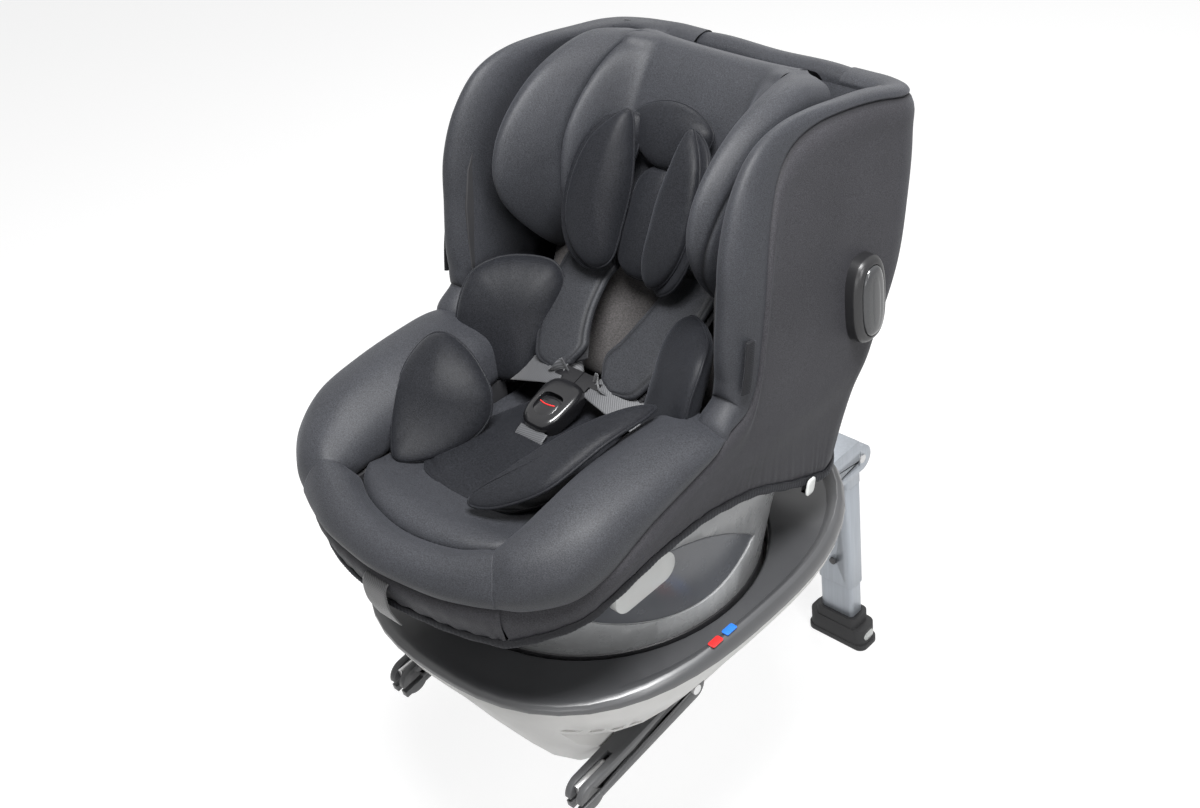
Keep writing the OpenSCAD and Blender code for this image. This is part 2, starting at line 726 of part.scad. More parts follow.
pad_line = [[-270, 343], [-268, 350], [-258, 356], [-236, 358], [-150, 340], [-40, 322], [48, 318]];
crotch_y = -78;
module strap_slot() {
  w = strap_w + 2 * fit;
  t = strap_t + 2 * fit;
  translate([-w / 2, crotch_y - t / 2, 200]) cube([w, t, 300]);
}
module seat_pad() {
  raised() color([0.24, 0.24, 0.26])
  difference() {
    side_view(-pad_half_w, pad_half_w)
      polygon(concat(pad_line, [[48, 287], [-60, 287], [-224, 319], [-236, 330], [-236, 343]]));
    strap_slot();
    translate([-22, -250, 300]) cube([44, 27.5, 41]);
  }
}

module insert_base() {
  raised() color([0.2, 0.2, 0.22])
  difference() {
    side_view(-58, 58) polygon([[-175, 346], [-150, 340.6], [-40, 322.6], [40, 318.8], [44, 330], [40, 338],
      [-40, 343], [-150, 361], [-172, 360]]);
    strap_slot();
  }
}

// Face of the back pad, off the back rest's line
back_face = -3.5;
module back_pad() {
  raised() color([0.22, 0.22, 0.24])
  on_back() translate([-140, 4, back_face - 30]) cube([280, 184, 30]);
}

// Rim of a leg cushion
leg_rim = [[66, -182, 366], [84, -176, 378], [98, -160, 400], [109, -134, 420], [119, -100, 431],
  [125, -65, 433], [127, -35, 425], [121, -10, 405], [110, 0, 382], [98, -12, 356], [88, -70, 352],
  [76, -130, 364]];
module leg_insert_right() {
  raised() color([0.2, 0.2, 0.22])
  pillow(leg_rim, [-15, -3, 7], [15.6, 0, -8.9]);
}
module insert_leg_right() { leg_insert_right(); }
module insert_leg_left() { mirror([1, 0, 0]) leg_insert_right(); }

// Rim of a body cushion: [X, along the back, out from it]
body_rim = [[156, 14, 96], [162, 50, 104], [160, 84, 100], [146, 104, 66], [112, 114, 44], [88, 110, 30],
  [86, 66, 36], [86, 26, 44], [90, 2, 54], [120, -6, 66], [146, 2, 84]];
module body_insert_right() {
  raised() color([0.2, 0.2, 0.22])
  on_back() pillow(body_rim, [-12, 2, 16], [5.1, 0, -59.5]);
}
module insert_body_right() { body_insert_right(); }
module insert_body_left() { mirror([1, 0, 0]) body_insert_right(); }

// Harness

strap_x = 40;
strap_n = back_face + fit + strap_t / 2;
module shoulder_straps() {
  raised() color([0.42, 0.42, 0.43])
  for (x = [-strap_x, strap_x]) translate([x, 0, 0]) on_back() side_view(-strap_w / 2, strap_w / 2)
    band([[190, -48], [190, -5], [188, strap_n], [60, strap_n], [46, 6], [17, 64]], strap_t);
}

module pad_right() {
  raised() color([0.2, 0.2, 0.21])
  on_back() side_view(strap_x - 21, strap_x + 21)
    band([[160, strap_n + strap_t / 2 + 6.2], [64, strap_n + strap_t / 2 + 6.2]], 12);
}
module shoulder_pad_right() { pad_right(); }
module shoulder_pad_left() { mirror([1, 0, 0]) pad_right(); }

// Flat strap between two points, turned about Y and Z only
module strap(a, b, w) {
  d = b - a;
  translate(a) rotate([0, 0, atan2(d[1], d[0])]) rotate([0, -atan2(d[2], norm([d[0], d[1]])), 0])
    translate([0, -w / 2, -strap_t / 2]) cube([norm(d), w, strap_t]);
}
module lap_straps() {
  raised() color([0.42, 0.42, 0.43])
  mirrored() strap([104, 8, 350], [30, -6, 378.5], 26);
}

// Frame of the buckle: Y runs up the buckle
module on_buckle() {
  translate([0, -36, 371]) rotate([16, 0, 0]) children();
}
module buckle_body() {
  raised() color([0.06, 0.06, 0.07])
  on_buckle() difference() {
    translate([0, 0, -11]) linear_extrude(height = 21) round_rect(54, 66, 12);
    translate([0, -8, -3]) linear_extrude(height = 30) round_rect(30.6, 26.6, 8);
    translate([-20, 14, -3]) cube([40, 40, 5]);
  }
}
module buckle_button() {
  raised() color([0.12, 0.12, 0.13])
  on_buckle() translate([0, -8, 1]) linear_extrude(height = 10) round_rect(30, 26, 8);
}
module buckle_tongues() {
  raised() color([0.6, 0.62, 0.64])
  on_buckle() mirrored() translate([10, 15, -2]) linear_extrude(height = 3) {
    translate([-9.5, 0]) square([18, 26]);
    translate([-9.5, 22]) square([30, 14]);
  }
}
module crotch_strap() {
  raised() color([0.42, 0.42, 0.43])
  side_view(-strap_w / 2, strap_w / 2)
    band([[crotch_y, 290], [crotch_y, 350.5], [crotch_y + 3, 355], [crotch_y + 9.8, 360]], strap_t);
}
module adjuster_strap() {
  raised() color([0.12, 0.12, 0.13])
  side_view(-17, 17)
    band([[-250, 320.5], [-262, 321], [-284, 321], [-290, 318], [-292, 310], [-292, 280], [-289, 268]],
      strap_t);
}
module harness_lever() {
  raised() color([0.5, 0.5, 0.5])
  difference() {
    side_view(-14, 14) {
      translate(lever_pin) circle(r = 4.5);
      translate(lever_pin - [16, 0]) square([16, 4.5]);
    }
    translate([0, lever_pin[0], lever_pin[1]]) rotate([0, 90, 0])
      cylinder(r = lever_pin_r + run_clear, h = 60, center = true);
  }
}
module recline_handle() {
  raised() color([0.15, 0.15, 0.16])
  difference() {
    side_view(-handle_half, handle_half) {
      translate(handle_pin) circle(r = 5);
      translate(handle_pin - [26, 5]) square([26, 8]);
      translate(handle_pin - [24, 1]) circle(r = 6);
    }
    translate([0, handle_pin[0], handle_pin[1]]) rotate([0, 90, 0])
      cylinder(r = handle_pin_r + run_clear, h = 90, center = true);
  }
}
module tongue_holders() {
  raised() color([0.1, 0.1, 0.11])
  mirrored() side_view(wing_half_w + fit, wing_half_w + 4)
    translate([34, 460]) rotate(-14) round_rect(12, 40, 4);
}

module pod_right() {
  raised() color([0.1, 0.1, 0.11])
  union() {
    side_view(pod_in + fit, wing_half_w + 14) translate(pod_at) stadium(pod_size[0], pod_size[1]);
    side_view(wing_half_w + 10, wing_half_w + 18) translate(pod_at)
      stadium(pod_size[0] - 17, pod_size[1] - 21);
  }
}
module side_pod_right() { pod_right(); }
module side_pod_left() { mirror([1, 0, 0]) pod_right(); }

// Headrest

module headrest_shell() {
  raised() color([0.16, 0.16, 0.17])
  on_back() translate([0, 0, -39.7]) linear_extrude(height = 5.7) {
    translate([-14, 120]) square([28, head_low + 6 - 120]);
    translate([-head_half_w + 6, head_low + 4]) square([2 * head_half_w - 12, head_high - head_low + 1]);
  }
}

// Side outlines of a headrest wing, as [along the back, out from it].
// They are its seam beside the head and its crest.
head_rear = -33.5;
function head_seam() = let (h = head_wing, low = head_low, top = head_high)
  [[low, head_rear], [low, 0.5], [low - 36, 0.5], [low - 34, 0.12 * h], [low - 18, 0.27 * h],
    [low, 0.4 * h], [low + 23, 0.5 * h], [low + 52, 0.56 * h], [low + 86, 0.52 * h], [top - 27, 0.3 * h],
    [top + 3, -0.02 * h], [top + 9, -0.18 * h], [top + 9, head_rear]];
function head_crest(k) = let (h = head_wing * k, low = head_low, top = head_high)
  [[low, head_rear], [low, 0.5], [low - 60, 0.5], [low - 54, 0.38 * h], [low - 36, 0.71 * h],
    [low - 16, 0.95 * h], [low + 8, 1.09 * h], [low + 42, 1.12 * h], [low + 78, 1.02 * h],
    [top - 47, 0.82 * h], [top - 20, 0.52 * h], [top + 2, 0.1 * h], [top + 6, head_rear]];
function head_middle() = let (low = head_low, top = head_high)
  [[low, head_rear], [low, 0.5], [low + 1, 4], [low + 2, 8], [low + 5, 11], [low + 12, 12], [low + 30, 12],
    [low + 52, 12], [low + 86, 12], [top - 27, 6], [top - 6, -5], [top + 4, -18], [top + 6, head_rear]];
module headrest_pad() {
  inner = head_half_w - 62;
  stations = [[head_half_w, head_crest(0.8)], [inner + 49, head_crest(0.96)],
    [inner + 28, head_crest(1)], [inner, head_seam()], [inner - 2, head_middle()]];
  right = [for (r = stations) [for (p = r[1]) [r[0], p[0], p[1]]]];
  left = [for (i = [len(right) - 1:-1:0]) [for (p = right[i]) [-p[0], p[1], p[2]]]];
  raised() color([0.25, 0.25, 0.27])
  on_back() loft(concat(right, left));
}

// Leaves of the head cushion: [X, along the back, out from it]
function leaf(outline, out, slope) = [for (p = outline) [p[0], p[1], out + slope * p[0]]];
function both_sides(half) = concat(half, [for (i = [len(half) - 2:-1:1]) [-half[i][0], half[i][1]]]);
outer_leaf = leaf([[30, 288], [68, 274], [90, 243], [95, 200], [88, 165], [70, 138], [46, 128], [34, 160],
  [40, 215], [30, 260]], 20, 0.35);
inner_leaf = leaf([[20, 284], [46, 262], [62, 222], [62, 182], [48, 150], [30, 138], [16, 160], [14, 210],
  [10, 255]], 34, 0.3);
top_leaf = leaf(both_sides([[0, 308], [24, 304], [48, 290], [44, 270], [20, 250], [0, 244]]), 26, 0);
neck_leaf = leaf(both_sides([[0, 246], [28, 236], [32, 200], [36, 160], [28, 140], [0, 134]]), 21, 0);
module head_hugger() {
  raised() color([0.22, 0.22, 0.24])
  on_back() {
    pillow(top_leaf, [0, 0, 20], [0, 0, -13]);
    pillow(neck_leaf, [0, 0, 16], [0, 0, -9.4]);
    mirrored() {
      pillow(outer_leaf, [0, 0, 14], [0, 0, -20]);
      pillow(inner_leaf, [0, 0, 18], [0, 0, -20]);
    }
  }
}

module headrest_handle() {
  raised() color([0.12, 0.12, 0.13])
  on_back() translate([0, head_high - 8, -52]) linear_extrude(height = 12) difference() {
    round_rect(100, 29, 11);
    round_rect(76, 15, 6);
  }
}

base_tub();
base_tray();
bearing_ring();
spin_hub();
isofix_shaft();
leg_bracket();
leg_pin();
orientation_marks();
isofix_arm_left();
isofix_arm_right();
isofix_hook_left();
isofix_hook_right();
isofix_button_left();
isofix_button_right();
leg_knuckle();
leg_tube_upper();
leg_button();
leg_tube_lower();
leg_foot();
foot_window();
turntable();
turntable_bowl();
recline_rails();
spin_button_left();
spin_button_right();
seat_pan();
back_shell();
back_frame();
side_cover_left();
side_cover_right();
thigh_bolster_left();
thigh_bolster_right();
front_panel();
seat_pad();
back_pad();
insert_base();
insert_leg_left();
insert_leg_right();
insert_body_left();
insert_body_right();
shoulder_straps();
shoulder_pad_left();
shoulder_pad_right();
lap_straps();
crotch_strap();
buckle_body();
buckle_button();
buckle_tongues();
adjuster_strap();
harness_lever();
recline_handle();
tongue_holders();
side_pod_left();
side_pod_right();
headrest_shell();
headrest_pad();
head_hugger();
headrest_handle();
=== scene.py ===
import json
import math

import bmesh
import bpy
import numpy as np
from mathutils import Matrix, Vector

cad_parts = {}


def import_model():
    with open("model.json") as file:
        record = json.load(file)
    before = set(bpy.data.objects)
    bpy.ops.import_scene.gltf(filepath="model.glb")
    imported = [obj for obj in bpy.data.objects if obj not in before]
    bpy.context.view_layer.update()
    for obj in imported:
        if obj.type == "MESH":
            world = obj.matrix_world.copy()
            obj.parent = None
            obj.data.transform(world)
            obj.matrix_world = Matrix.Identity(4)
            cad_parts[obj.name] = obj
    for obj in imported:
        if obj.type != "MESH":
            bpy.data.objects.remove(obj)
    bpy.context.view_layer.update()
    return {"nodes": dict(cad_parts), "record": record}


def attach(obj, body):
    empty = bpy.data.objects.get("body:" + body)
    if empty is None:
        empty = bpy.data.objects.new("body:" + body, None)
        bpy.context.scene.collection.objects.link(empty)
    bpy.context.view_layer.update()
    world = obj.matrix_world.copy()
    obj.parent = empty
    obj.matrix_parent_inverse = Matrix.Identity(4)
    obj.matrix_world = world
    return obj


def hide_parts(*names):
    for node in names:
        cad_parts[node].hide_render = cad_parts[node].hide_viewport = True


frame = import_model()
NODES = frame["nodes"]
MM = 0.001
SIDES = ((1, "right"), (-1, "left"))
MIRROR = np.array([-1, 1, 1])
UP = np.array([0, 0, 1.0])
# Where the leaning back meets the seat, and the sine and cosine of its lean
BACK_Y, BACK_Z = 60, 330
LEAN_SIN, LEAN_COS = 0.5, 0.866


# Curves and surfaces, in millimetres


def smooth(rows, x):
    """Value of a table at x, on a curve through its rows."""
    k, v = np.asarray(rows, float).T
    m = np.gradient(v, k)
    x = np.clip(np.asarray(x, float), k[0], k[-1])
    i = np.clip(np.searchsorted(k, x) - 1, 0, len(k) - 2)
    h = k[i + 1] - k[i]
    t = (x - k[i]) / h
    return (
        (1 + 2 * t) * (1 - t) ** 2 * v[i]
        + t * (1 - t) ** 2 * h * m[i]
        + t * t * (3 - 2 * t) * v[i + 1]
        + t * t * (t - 1) * h * m[i + 1]
    )


def curve(points, count, closed=False):
    """count rows on a curve through the given rows, spread evenly over their spans."""
    c = np.asarray(points, float)
    spans = len(c) if closed else len(c) - 1
    if closed:
        c = np.concatenate([c[-1:], c, c[:2]])
    else:
        c = np.concatenate([2 * c[:1] - c[1:2], c, 2 * c[-1:] - c[-2:-1]])
    t = np.linspace(0, spans, count, endpoint=not closed)
    i = np.minimum(t.astype(int), spans - 1)
    f = (t - i).reshape(-1, *[1] * (c.ndim - 1))
    p, q, r, s = c[i], c[i + 1], c[i + 2], c[i + 3]
    return 0.5 * (2 * q + (r - p) * f + (2 * p - 5 * q + 4 * r - s) * f**2 + (3 * q - p - 3 * r + s) * f**3)


def even(points, count, closed=False):
    """count points at even steps along a curve through the given points."""
    dense = curve(points, 600, closed)
    if closed:
        dense = np.concatenate([dense, dense[:1]])
    run = np.concatenate([[0], np.cumsum(np.linalg.norm(np.diff(dense, axis=0), axis=1))])
    t = np.linspace(0, run[-1], count, endpoint=not closed)
    return np.stack([np.interp(t, run, dense[:, k]) for k in range(dense.shape[1])], 1)


def spread(sections, rows, cols):
    """Dense surface through a row of closed sections."""
    g = curve(sections, rows)
    return np.swapaxes(curve(np.swapaxes(g, 0, 1), cols, True), 0, 1)


def normals(p):
    """Unit normals of a dense grid."""
    return unit(np.cross(np.gradient(p, axis=0), np.gradient(p, axis=1)))


def near(p, line):
    """Distance of every point of p from a polyline."""
    flat = p.reshape(-1, 3)
    best = np.full(len(flat), 1e9)
    line = np.asarray(line, float)
    for a, b in zip(line[:-1], line[1:]):
        d = b - a
        t = np.clip((flat - a) @ d / max(d @ d, 1e-9), 0, 1)
        best = np.minimum(best, np.linalg.norm(flat - a - t[:, None] * d, axis=1))
    return best.reshape(p.shape[:-1])


def bell(d, width):
    """Smooth bump, one at distance zero."""
    return np.exp(-((d / width) ** 2))


def unit(v):
    """Vectors at length one."""
    v = np.asarray(v, float)
    return v / np.maximum(np.linalg.norm(v, axis=-1, keepdims=True), 1e-9)


def turns(count):
    """Even angles round a circle."""
    return np.linspace(0, 2 * math.pi, count, endpoint=False)


def square_off(v, power):
    """Sine or cosine that is pushed outward, so that a circle turns squarer."""
    return np.sign(v) * abs(v) ** power


def back(x, s, n):
    """Point of the leaning back: s runs up it and n stands out from it."""
    x, s, n = np.broadcast_arrays(*(np.asarray(v, float) for v in (x, s, n)))
    return np.stack([x, BACK_Y + LEAN_SIN * s - LEAN_COS * n, BACK_Z + LEAN_COS * s + LEAN_SIN * n], -1)


def off_back(x, s, n):
    """Direction in the frame of the back."""
    return back(x, s, n) - back(0, 0, 0)


class Form:
    """Vertices, faces, seam weights for painted shade, and weave coordinates of a piece."""

    def __init__(self):
        self.verts, self.faces, self.seam, self.uv = [], [], [], []
        self.count = 0

    def grid(self, p, close_rows=False, close_cols=False, seam=None, uv=None):
        rows, cols = p.shape[:2]
        i = np.arange(rows if close_rows else rows - 1)[:, None]
        j = np.arange(cols if close_cols else cols - 1)[None, :]
        a = i * cols + j
        b = i * cols + (j + 1) % cols
        c = ((i + 1) % rows) * cols + (j + 1) % cols
        d = ((i + 1) % rows) * cols + j
        self.faces += (np.stack([a, b, c, d], -1).reshape(-1, 4) + self.count).tolist()
        self.verts.append(p.reshape(-1, 3))
        self.seam.append(np.zeros(rows * cols) if seam is None else np.asarray(seam, float).reshape(-1))
        self.uv.append(np.zeros((rows * cols, 2)) if uv is None else uv.reshape(-1, 2))
        self.count += rows * cols
        return self

    def loft(self, p, dome=(6, 6), steps=5, seam=None):
        """Closed rings with domed ends."""
        rings = list(p)
        # Weights of painted shade along the seams; the domed ends get none
        seam_shade = [np.zeros(p.shape[1])] * len(p) if seam is None else list(seam)
        for end, height in ((0, dome[0]), (-1, dome[1])):
            ring = p[end]
            mid = ring.mean(0)
            way = unit(mid - p[1 if end == 0 else -2].mean(0))
            for k in range(1, steps + 1):
                a = k / steps * math.pi / 2
                r = mid + (ring - mid) * max(math.cos(a), 0.0005) + way * height * math.sin(a)
                at = 0 if end == 0 else len(rings)
                rings.insert(at, r)
                seam_shade.insert(at, seam_shade[0] * 0)
        return self.grid(np.array(rings), close_cols=True, seam=np.array(seam_shade))

    def mirror(self):
        f = Form()
        f.verts = [v * MIRROR for v in self.verts]
        f.faces = [c[::-1] for c in self.faces]
        f.seam, f.uv, f.count = list(self.seam), list(self.uv), self.count
        return f


def into_scene(name, data):
    """New object with the given data."""
    ob = bpy.data.objects.new(name, data)
    bpy.context.scene.collection.objects.link(ob)
    return ob


def add(form, other):
    """Puts a second form into the first."""
    form.faces += [[i + form.count for i in f] for f in other.faces]
    form.verts += other.verts
    form.seam += other.seam
    form.uv += other.uv
    form.count += other.count
    return form


def walls(form, p, q):
    """Closes the gap between two grids along their four edges."""
    for a, b in ((p[0], q[0]), (p[-1], q[-1]), (p[:, 0], q[:, 0]), (p[:, -1], q[:, -1])):
        form.grid(np.stack([a, b]))
    return form


def piece(name, form, body, stuff, nodes=()):
    """Makes a mesh of a form and lets it ride on a CAD body."""
    me = bpy.data.meshes.new(name)
    me.from_pydata((np.concatenate(form.verts) * MM).tolist(), [], form.faces)
    # The seam weights go to the material as painted shade
    seam_shade_layer = me.attributes.new("seam", "FLOAT", "POINT")
    seam_shade_layer.data.foreach_set("value", np.concatenate(form.seam).astype(np.float32))
    uv = np.concatenate(form.uv)
    if uv.any():
        layer = me.uv_layers.new(name="UVMap")
        loops = np.zeros(len(me.loops), np.int32)
        me.loops.foreach_get("vertex_index", loops)
        layer.data.foreach_set("uv", (uv[loops] * MM).astype(np.float32).reshape(-1))
    bm = bmesh.new()
    bm.from_mesh(me)
    bmesh.ops.remove_doubles(bm, verts=bm.verts, dist=2e-5)
    bmesh.ops.recalc_face_normals(bm, faces=bm.faces)
    for f in bm.faces:
        f.smooth = True
    bm.to_mesh(me)
    bm.free()
    ob = into_scene(name, me)
    me.materials.append(stuff)
    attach(ob, body)
    if nodes:
        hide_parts(*nodes)
    return ob


def tube(path, radius, around=10, ends=True):
    """Round tube along a path."""
    path = np.asarray(path, float)
    t = unit(np.gradient(path, axis=0))
    side = unit(np.cross(t, UP) + 1e-6)
    up = np.cross(side, t)
    a = turns(around)[None, :, None]
    p = path[:, None] + radius * (np.cos(a) * side[:, None] + np.sin(a) * up[:, None])
    f = Form()
    return f.loft(p, (0.5, 0.5), 2) if ends else f.grid(p, close_cols=True)


def ribbon(path, across, width, thick, rows):
    """Flat strap along a path, with the weave's own coordinates. across is its sideways direction."""
    path = even(path, rows)
    t = unit(np.gradient(path, axis=0))
    across = np.asarray(across, float)
    across = unit(across - (across * t).sum(1, keepdims=True) * t)
    out = np.cross(across, t)
    shape = [(-1, 0), (-0.985, 0.8), (-0.9, 1), (-0.45, 1), (0, 1), (0.45, 1), (0.9, 1), (0.985, 0.8), (1, 0)]
    shape += [(-x, -y) for x, y in shape[1:-1]]
    shape = np.array(shape)
    run = np.concatenate([[0], np.cumsum(np.linalg.norm(np.diff(path, axis=0), axis=1))])
    p = path[:, None] + shape[None, :, :1] * across[:, None] * width / 2
    p = p + shape[None, :, 1:] * out[:, None] * thick / 2
    uv = np.stack(np.broadcast_arrays(run[:, None], shape[None, :, 0] * width / 2 + 100), -1)
    f = Form().grid(p, close_cols=True, uv=uv)
    for end in (0, -1):
        f.grid(np.stack([p[end][:8], p[end][[0, 15, 14, 13, 12, 11, 10, 9]]]))
    return f


def pillow(rim, front, rear, around=120, rings=20, full=0.6, groove=()):
    """Stuffed piece between two faces that meet at a rim. front and rear say how far each face swells."""
    edge = even(rim, around, True)
    mid = edge.mean(0)
    rho = np.sin(np.linspace(0.02, 1, rings) * math.pi / 2)[:, None, None]
    way = unit(np.asarray(front, float) - np.asarray(rear, float))
    lift = ((edge - mid) @ way)[:, None] * way
    flat = mid + rho * (edge - mid - lift) + rho**2 * lift
    step = np.arange(around)[None, :, None]
    pucker = 0.5 * np.sin(step * 0.9) + 0.35 * np.sin(step * 1.57 + 1)
    pucker = pucker * rho**8 * (1 - rho**2) * 3
    form = Form()
    for swell in (front, rear):
        p = flat + (1 - rho**2) ** full * np.asarray(swell, float) + unit(swell) * pucker
        # Painted shade in each groove, as well as its pressed-in shape
        seam_shade = np.zeros(p.shape[:2])
        for line, depth, width in groove:
            d = near(p, line)
            p = p - unit(np.asarray(swell, float)) * (depth * bell(d, width))[..., None]
            seam_shade = np.maximum(seam_shade, bell(d, width * 0.5))
        tip = np.repeat(p[:1].mean(1, keepdims=True), around, 1)
        form.grid(np.concatenate([tip, p]), close_cols=True, seam=np.concatenate([seam_shade[:1] * 0, seam_shade]))
    return form


# Materials


MADE = {}


def nodes_of(name):
    """New material, with its node tree and its shader."""
    m = bpy.data.materials.new(name)
    m.use_nodes = True
    MADE[name] = m
    return m, m.node_tree, m.node_tree.nodes["Principled BSDF"]


def put(node, values):
    """Sets the node's own sockets."""
    for socket, value in values.items():
        node.inputs[socket].default_value = value


def link(t, a, b):
    t.links.new(a, b)


def noise(t, scale, detail=2.0, stretch=(1, 1, 1), rough=0.5):
    where = t.nodes.new("ShaderNodeTexCoord")
    turn = t.nodes.new("ShaderNodeMapping")
    turn.inputs["Scale"].default_value = stretch
    n = t.nodes.new("ShaderNodeTexNoise")
    put(n, {"Scale": scale, "Detail": detail, "Roughness": rough})
    link(t, where.outputs["Object"], turn.inputs["Vector"])
    link(t, turn.outputs["Vector"], n.inputs["Vector"])
    return n.outputs["Fac"]


def ramp(t, fac, low, high, start=0.35, end=0.65):
    r = t.nodes.new("ShaderNodeValToRGB")
    r.color_ramp.elements[0].position = start
    r.color_ramp.elements[1].position = end
    r.color_ramp.elements[0].color = (*low, 1)
    r.color_ramp.elements[1].color = (*high, 1)
    link(t, fac, r.inputs["Fac"])
    return r.outputs["Color"]


def mix_colour(t, kind, fac, a, b):
    m = t.nodes.new("ShaderNodeMix")
    m.data_type = "RGBA"
    m.blend_type = kind
    sockets = (m.inputs[0], m.inputs[6], m.inputs[7])
    for value, socket in zip((fac, a, b), sockets):
        if hasattr(value, "is_output"):
            link(t, value, socket)
        elif isinstance(value, tuple):
            socket.default_value = (*value, 1)
        else:
            socket.default_value = value
    return m.outputs[2]


def bump(t, bsdf, heights):
    """heights: (height output, strength, distance in metres)"""
    last = None
    for height, strength, distance in heights:
        b = t.nodes.new("ShaderNodeBump")
        put(b, {"Strength": strength, "Distance": distance})
        link(t, height, b.inputs["Height"])
        if last:
            link(t, last, b.inputs["Normal"])
        last = b.outputs["Normal"]
    link(t, last, bsdf.inputs["Normal"])


def fabric(name, dark, light, rough=0.5, sheen=0.05, specular=0.1, grain=1500, relief=0.5):
    """Knitted cloth: mixed yarn, fine loops, and painted shade along its seams and grooves."""
    m, t, b = nodes_of(name)
    yarn = noise(t, grain * 0.5, 4.0, (1, 1, 1.8), 0.7)
    loops = noise(t, grain, 2.0, (1, 1, 0.7))
    broad = noise(t, 9.0, 2.0)
    colour = ramp(t, yarn, dark, light, 0.34, 0.68)
    tone = ramp(t, broad, (0.88, 0.88, 0.88), (1.1, 1.1, 1.1), 0.3, 0.7)
    colour = mix_colour(t, "MULTIPLY", 1.0, colour, tone)
    # Painted shade: where a piece's seam weights are high, the colour darkens to a quarter of the dark yarn,
    # for shade in seams and grooves
    seam = t.nodes.new("ShaderNodeAttribute")
    seam.attribute_name = "seam"
    colour = mix_colour(t, "MIX", seam.outputs["Fac"], colour, tuple(0.25 * v for v in dark))
    link(t, colour, b.inputs["Base Color"])
    put(b, {"Roughness": rough, "Specular IOR Level": specular, "Sheen Weight": sheen})
    put(b, {"Sheen Roughness": 0.45, "Sheen Tint": (0.8, 0.84, 0.95, 1)})
    folds = noise(t, 30.0, 2.0)
    bump(t, b, [(folds, 0.1, 0.002), (loops, relief, 0.0005)])
    return m


def plastic(name, colour, rough=0.4, grain=900, relief=0.12, specular=0.5, coat=0.0, vary=0.06):
    """Moulded plastic with a fine grain and slight wear in its gloss."""
    m, t, b = nodes_of(name)
    broad = noise(t, 14.0, 3.0)
    low = tuple(v * (1 - vary) for v in colour)
    high = tuple(min(1, v * (1 + vary)) for v in colour)
    link(t, ramp(t, broad, low, high), b.inputs["Base Color"])
    gloss = t.nodes.new("ShaderNodeMapRange")
    put(gloss, {"To Min": rough - 0.05, "To Max": rough + 0.05})
    link(t, noise(t, 60.0, 3.0), gloss.inputs["Value"])
    link(t, gloss.outputs["Result"], b.inputs["Roughness"])
    put(b, {"Specular IOR Level": specular, "Coat Weight": coat, "Coat Roughness": 0.12})
    bump(t, b, [(noise(t, grain, 2.0), relief, 0.0003)])
    return m


def metal(name, colour, rough=0.35, metallic=0.85):
    """Metal with a fine brushed grain."""
    m, t, b = nodes_of(name)
    brushed = noise(t, 300.0, 2.0, (1, 1, 0.05))
    low = tuple(v * 0.92 for v in colour)
    link(t, ramp(t, brushed, low, colour), b.inputs["Base Color"])
    put(b, {"Metallic": metallic, "Roughness": rough})
    bump(t, b, [(noise(t, 1200.0, 2.0, (1, 1, 0.05)), 0.08, 0.0002)])
    return m


def woven(name, dark, light, rough=0.6, pitch=0.0022, sheen=0.2):
    """Strap webbing: a twill in the strap's own coordinates."""
    m, t, b = nodes_of(name)
    uv = t.nodes.new("ShaderNodeUVMap")
    turn = t.nodes.new("ShaderNodeMapping")
    turn.inputs["Rotation"].default_value = (0, 0, math.radians(38))
    link(t, uv.outputs["UV"], turn.inputs["Vector"])
    w = t.nodes.new("ShaderNodeTexWave")
    put(w, {"Scale": 0.314 / pitch, "Distortion": 0.4})
    link(t, turn.outputs["Vector"], w.inputs["Vector"])
    yarn = noise(t, 1500.0, 2.0)
    both = mix_colour(t, "MULTIPLY", 0.5, w.outputs["Color"], ramp(t, yarn, (0.5, 0.5, 0.5), (1, 1, 1)))
    link(t, ramp(t, both, dark, light, 0.1, 0.9), b.inputs["Base Color"])
    put(b, {"Roughness": rough, "Sheen Weight": sheen})
    bump(t, b, [(w.outputs["Fac"], 0.3, 0.0004), (yarn, 0.2, 0.0002)])
    return m


def two_marks(name, rear, front, split):
    """One colour behind a place along Y and another ahead of it."""
    m, t, b = nodes_of(name)
    where = t.nodes.new("ShaderNodeTexCoord")
    axes = t.nodes.new("ShaderNodeSeparateXYZ")
    ahead = t.nodes.new("ShaderNodeMath")
    ahead.operation = "LESS_THAN"
    ahead.inputs[1].default_value = split
    link(t, where.outputs["Object"], axes.inputs[0])
    link(t, axes.outputs["Y"], ahead.inputs[0])
    link(t, mix_colour(t, "MIX", ahead.outputs[0], rear, front), b.inputs["Base Color"])
    b.inputs["Roughness"].default_value = 0.4
    return m


def clear(name):
    """Cloudy window that lets some light through."""
    m, t, b = nodes_of(name)
    link(t, ramp(t, noise(t, 80.0), (0.62, 0.65, 0.63), (0.78, 0.8, 0.78)), b.inputs["Base Color"])
    put(b, {"Roughness": 0.12, "Transmission Weight": 0.25, "Coat Weight": 0.6})
    return m


# A finish without a name here goes to the CAD's own pieces, by their slot
COVER = fabric("cover_fabric", (0.013, 0.0128, 0.0143), (0.05, 0.049, 0.055), rough=0.6, specular=0.16)
LINING = fabric("lining_fabric", (0.01, 0.0104, 0.0122), (0.042, 0.044, 0.051), rough=0.52, specular=0.25)
INSERT = fabric("insert_fabric", (0.004, 0.0042, 0.005), (0.02, 0.021, 0.025), rough=0.45, specular=0.11)
PADDING = fabric("pad_fabric", (0.008, 0.0084, 0.0095), (0.034, 0.0355, 0.041), rough=0.55, specular=0.2)
BACKREST = fabric("backrest_fabric", (0.045, 0.042, 0.042), (0.1, 0.095, 0.094), rough=0.7,
                  grain=900, relief=0.4)
ELASTIC = fabric("elastic", (0.008, 0.008, 0.009), (0.02, 0.02, 0.022), rough=0.6, sheen=0.1)
WEBBING = woven("webbing", (0.03, 0.031, 0.034), (0.075, 0.077, 0.083))
